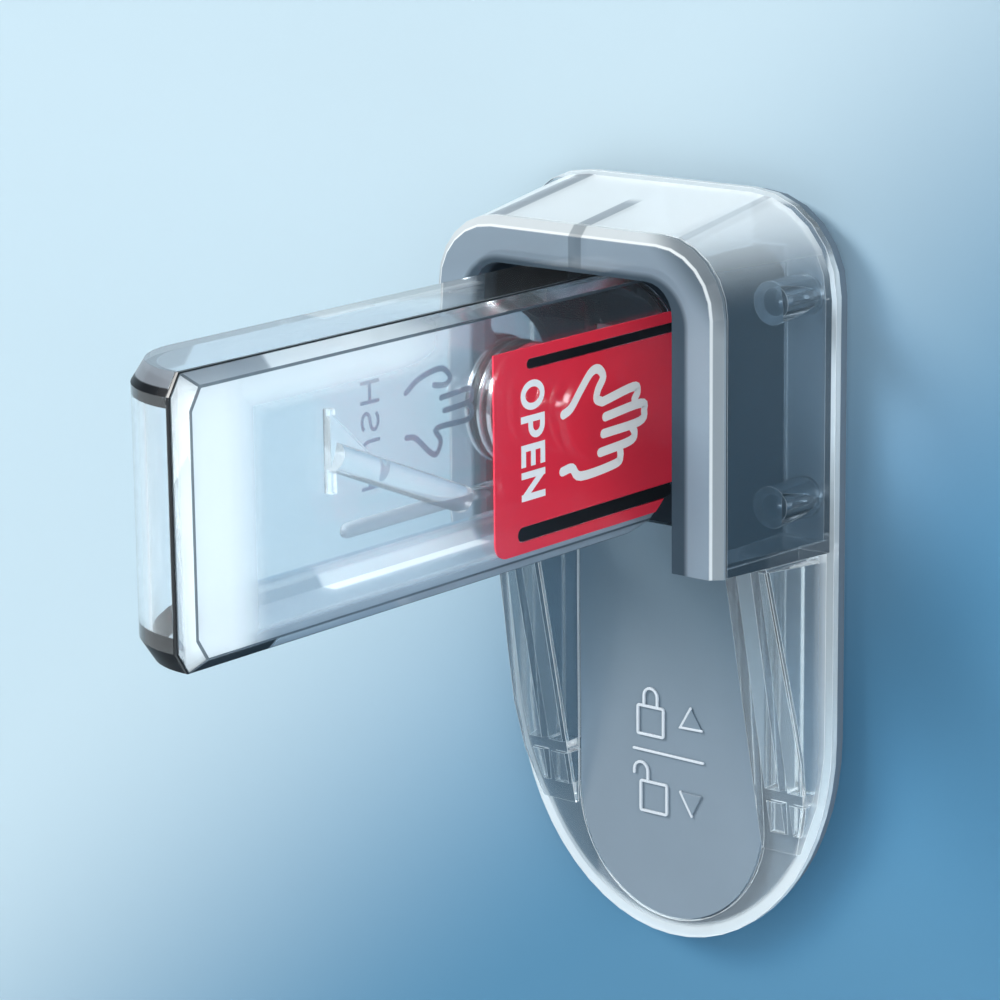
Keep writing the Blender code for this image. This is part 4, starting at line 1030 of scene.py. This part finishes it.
def make_slot_shade_lines(finishes, pivot):
    """Black lines of painted shade in the label's two slots."""
    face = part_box("arm_cover")[1].x / MM + SLOT_LINE_LIFT

    def place(y, z):
        return (face, y, z)

    for name, slot in (("slot_shade_upper", SLOT_UPPER), ("slot_shade_lower", SLOT_LOWER)):
        front = pivot.y / MM - slot["front"] + slot["height"] / 2
        level = pivot.z / MM + slot["above"]
        points = [(front, level), (pivot.y / MM + slot["rear"], level)]
        strokes = [stroke(points, slot["height"] - 2 * SLOT_PLAY, False, True)]
        # Painted shade: a black line in each slot
        lay_flat(name, strokes, place, RIGHT, SLOT_LINE_THICK, finishes["seal"], "arm")


def wind_wire(pivot, start, end, radius, wire, turns):
    """Round wire wound about the pivot's axis between two X places. With one place it is a ring."""
    shaping = bmesh.new()
    ring = start == end
    count = WIRE_STEPS if ring else turns * WIRE_STEPS + 1
    loops = []
    for i in range(count):
        turn = 2.0 * math.pi * i / WIRE_STEPS
        x = start + (end - start) * i / (count - 1)
        loop = []
        for k in range(WIRE_SIDES):
            roll = 2.0 * math.pi * k / WIRE_SIDES
            reach = radius + wire / 2 * math.cos(roll)
            spot = (x + wire / 2 * math.sin(roll), reach * math.cos(turn), reach * math.sin(turn))
            loop.append(shaping.verts.new(mm(spot) + Vector((0.0, pivot.y, pivot.z))))
        loops.append(loop)
    pairs = list(zip(loops, loops[1:]))
    if ring:
        pairs.append((loops[-1], loops[0]))
    for near, far in pairs:
        for k in range(WIRE_SIDES):
            m = (k + 1) % WIRE_SIDES
            shaping.faces.new((near[k], far[k], far[m], near[m])).smooth = True
    if not ring:
        shaping.faces.new(loops[0])
        shaping.faces.new(loops[-1])
    bmesh.ops.recalc_face_normals(shaping, faces=shaping.faces)
    return shaping


def make_cup_rings(finishes, pivot):
    """Wire rings round the steel cup, bright and dark in turn: two steel ones with a black one between
    them as painted shade between the coil's turns.
    """
    # The black ring is painted shade between bright turns of wire
    rings = [("steel", "plated_steel"), ("seal", "dark_seal"), ("steel", "plated_steel")]
    for number, (finish, slot) in enumerate(rings):
        x = RING_FIRST_X + RING_PITCH * number
        shaping = wind_wire(pivot, x, x, RING_RADIUS, RING_WIRE, 1)
        add_piece(f"cup_ring_{number + 1}", shaping, finishes[finish], "arm")


def make_coil_spring(finishes, pivot):
    """The coil spring, wound at the length of the spring part, which it hides. The real spring gets
    shorter towards the bolt's head as the arm is pushed aside.
    """
    low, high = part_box("return_spring")
    start, end = low.x / MM + SPRING_WIRE / 2, high.x / MM - SPRING_WIRE / 2
    shaping = wind_wire(pivot, start, end, SPRING_RADIUS, SPRING_WIRE, SPRING_TURNS)
    spring = add_piece("coil_spring", shaping, finishes["steel"], "base")
    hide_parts("return_spring")
    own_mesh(spring)


# Raised marks on the channel panel

def padlock_strokes(left, low, width, height, shackle_shift):
    """A padlock's body and its shackle, which stands open where it is shifted."""
    right, high = left + width, low + height
    inset = PADLOCK_CORNER
    corners = [
        (right - inset, high - inset), (left + inset, high - inset),
        (left + inset, low + inset), (right - inset, low + inset)]
    body = []
    for number, corner in enumerate(corners):
        body += arc(corner, (inset, inset), 90 * number, 90 * number + 90, 4)
    centre = left + width / 2 + shackle_shift
    bow = width * SHACKLE_TO_WIDTH
    top = high + SHACKLE_RISE
    if shackle_shift == 0:
        foot, sweep, tip = (centre - bow, high), (180, 0), (centre + bow, high)
    else:
        foot, sweep, tip = (centre + bow, high), (0, 180), (centre - bow, top - SHACKLE_END_DROP)
    shackle = [foot] + arc((centre, top), (bow, bow), *sweep, 8) + [tip]
    return [stroke(body, MARK_STROKE, True), stroke(shackle, MARK_STROKE, False, True)]


def make_panel_marks(finishes):
    """Padlocks, triangles and a line that tell locked from open. Their whitish grey is painted highlight
    on raised marks, which the triangles, raised in the panel's grey, carry only on their left and lower
    edges.
    """
    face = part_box("channel_panel")[0].y / MM - PRINT_LIFT

    def place(x, z):
        return (x, face, z)

    upper = [(5.6, -22.6), (1.95, -22.7), (3.7, -19.7)]
    lower = [(5.6, -32.0), (1.95, -32.0), (3.9, -35.2)]
    locked = {"left": -5.4, "low": -24.8, "width": 4.4, "height": 4.1, "shackle_shift": 0}
    opened = {"left": -4.9, "low": -35.9, "width": 4.5, "height": 4.3, "shackle_shift": -2.2}
    marks = {
        "mark_locked": padlock_strokes(**locked),
        "mark_open": padlock_strokes(**opened),
        "mark_up_highlight": [stroke(upper, MARK_STROKE, False, True)],
        "mark_down_highlight": [stroke(lower[1:], MARK_STROKE, False, True)],
        "mark_line": [stroke([(-6.1, -27.1), (5.8, -27.2)], MARK_STROKE, False, True)],
    }
    # Painted highlight: the whitish grey of the raised marks
    pale, grey = finishes["mark"], finishes["panel"]
    for name, strokes in marks.items():
        lay_flat(name, strokes, place, OUT, MARK_HEIGHT, pale, "base", MARK_EDGE)
    for name, corners in (("mark_up_block", upper), ("mark_down_block", lower)):
        block = [([Vector(corner) for corner in corners], [(0, 1, 2)])]
        lay_flat(name, block, place, OUT, MARK_BLOCK, grey, "base", MARK_EDGE)


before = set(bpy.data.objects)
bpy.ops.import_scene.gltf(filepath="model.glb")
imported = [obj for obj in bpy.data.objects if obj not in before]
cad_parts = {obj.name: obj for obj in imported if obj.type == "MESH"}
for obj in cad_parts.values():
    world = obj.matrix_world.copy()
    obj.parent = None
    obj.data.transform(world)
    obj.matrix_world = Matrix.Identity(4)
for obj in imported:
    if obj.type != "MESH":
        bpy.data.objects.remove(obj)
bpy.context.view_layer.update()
make_camera()
light_the_room()
make_stage()
finishes = make_finishes()
dress_solids(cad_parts, finishes)
bolt_low, bolt_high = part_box("pivot_bolt")
pivot = (bolt_low + bolt_high) / 2
make_open_print(finishes)
make_push_print(finishes)
make_slot_shade_lines(finishes, pivot)
make_cup_rings(finishes, pivot)
make_coil_spring(finishes, pivot)
make_panel_marks(finishes)
bpy.context.scene.view_settings.view_transform = "Standard"
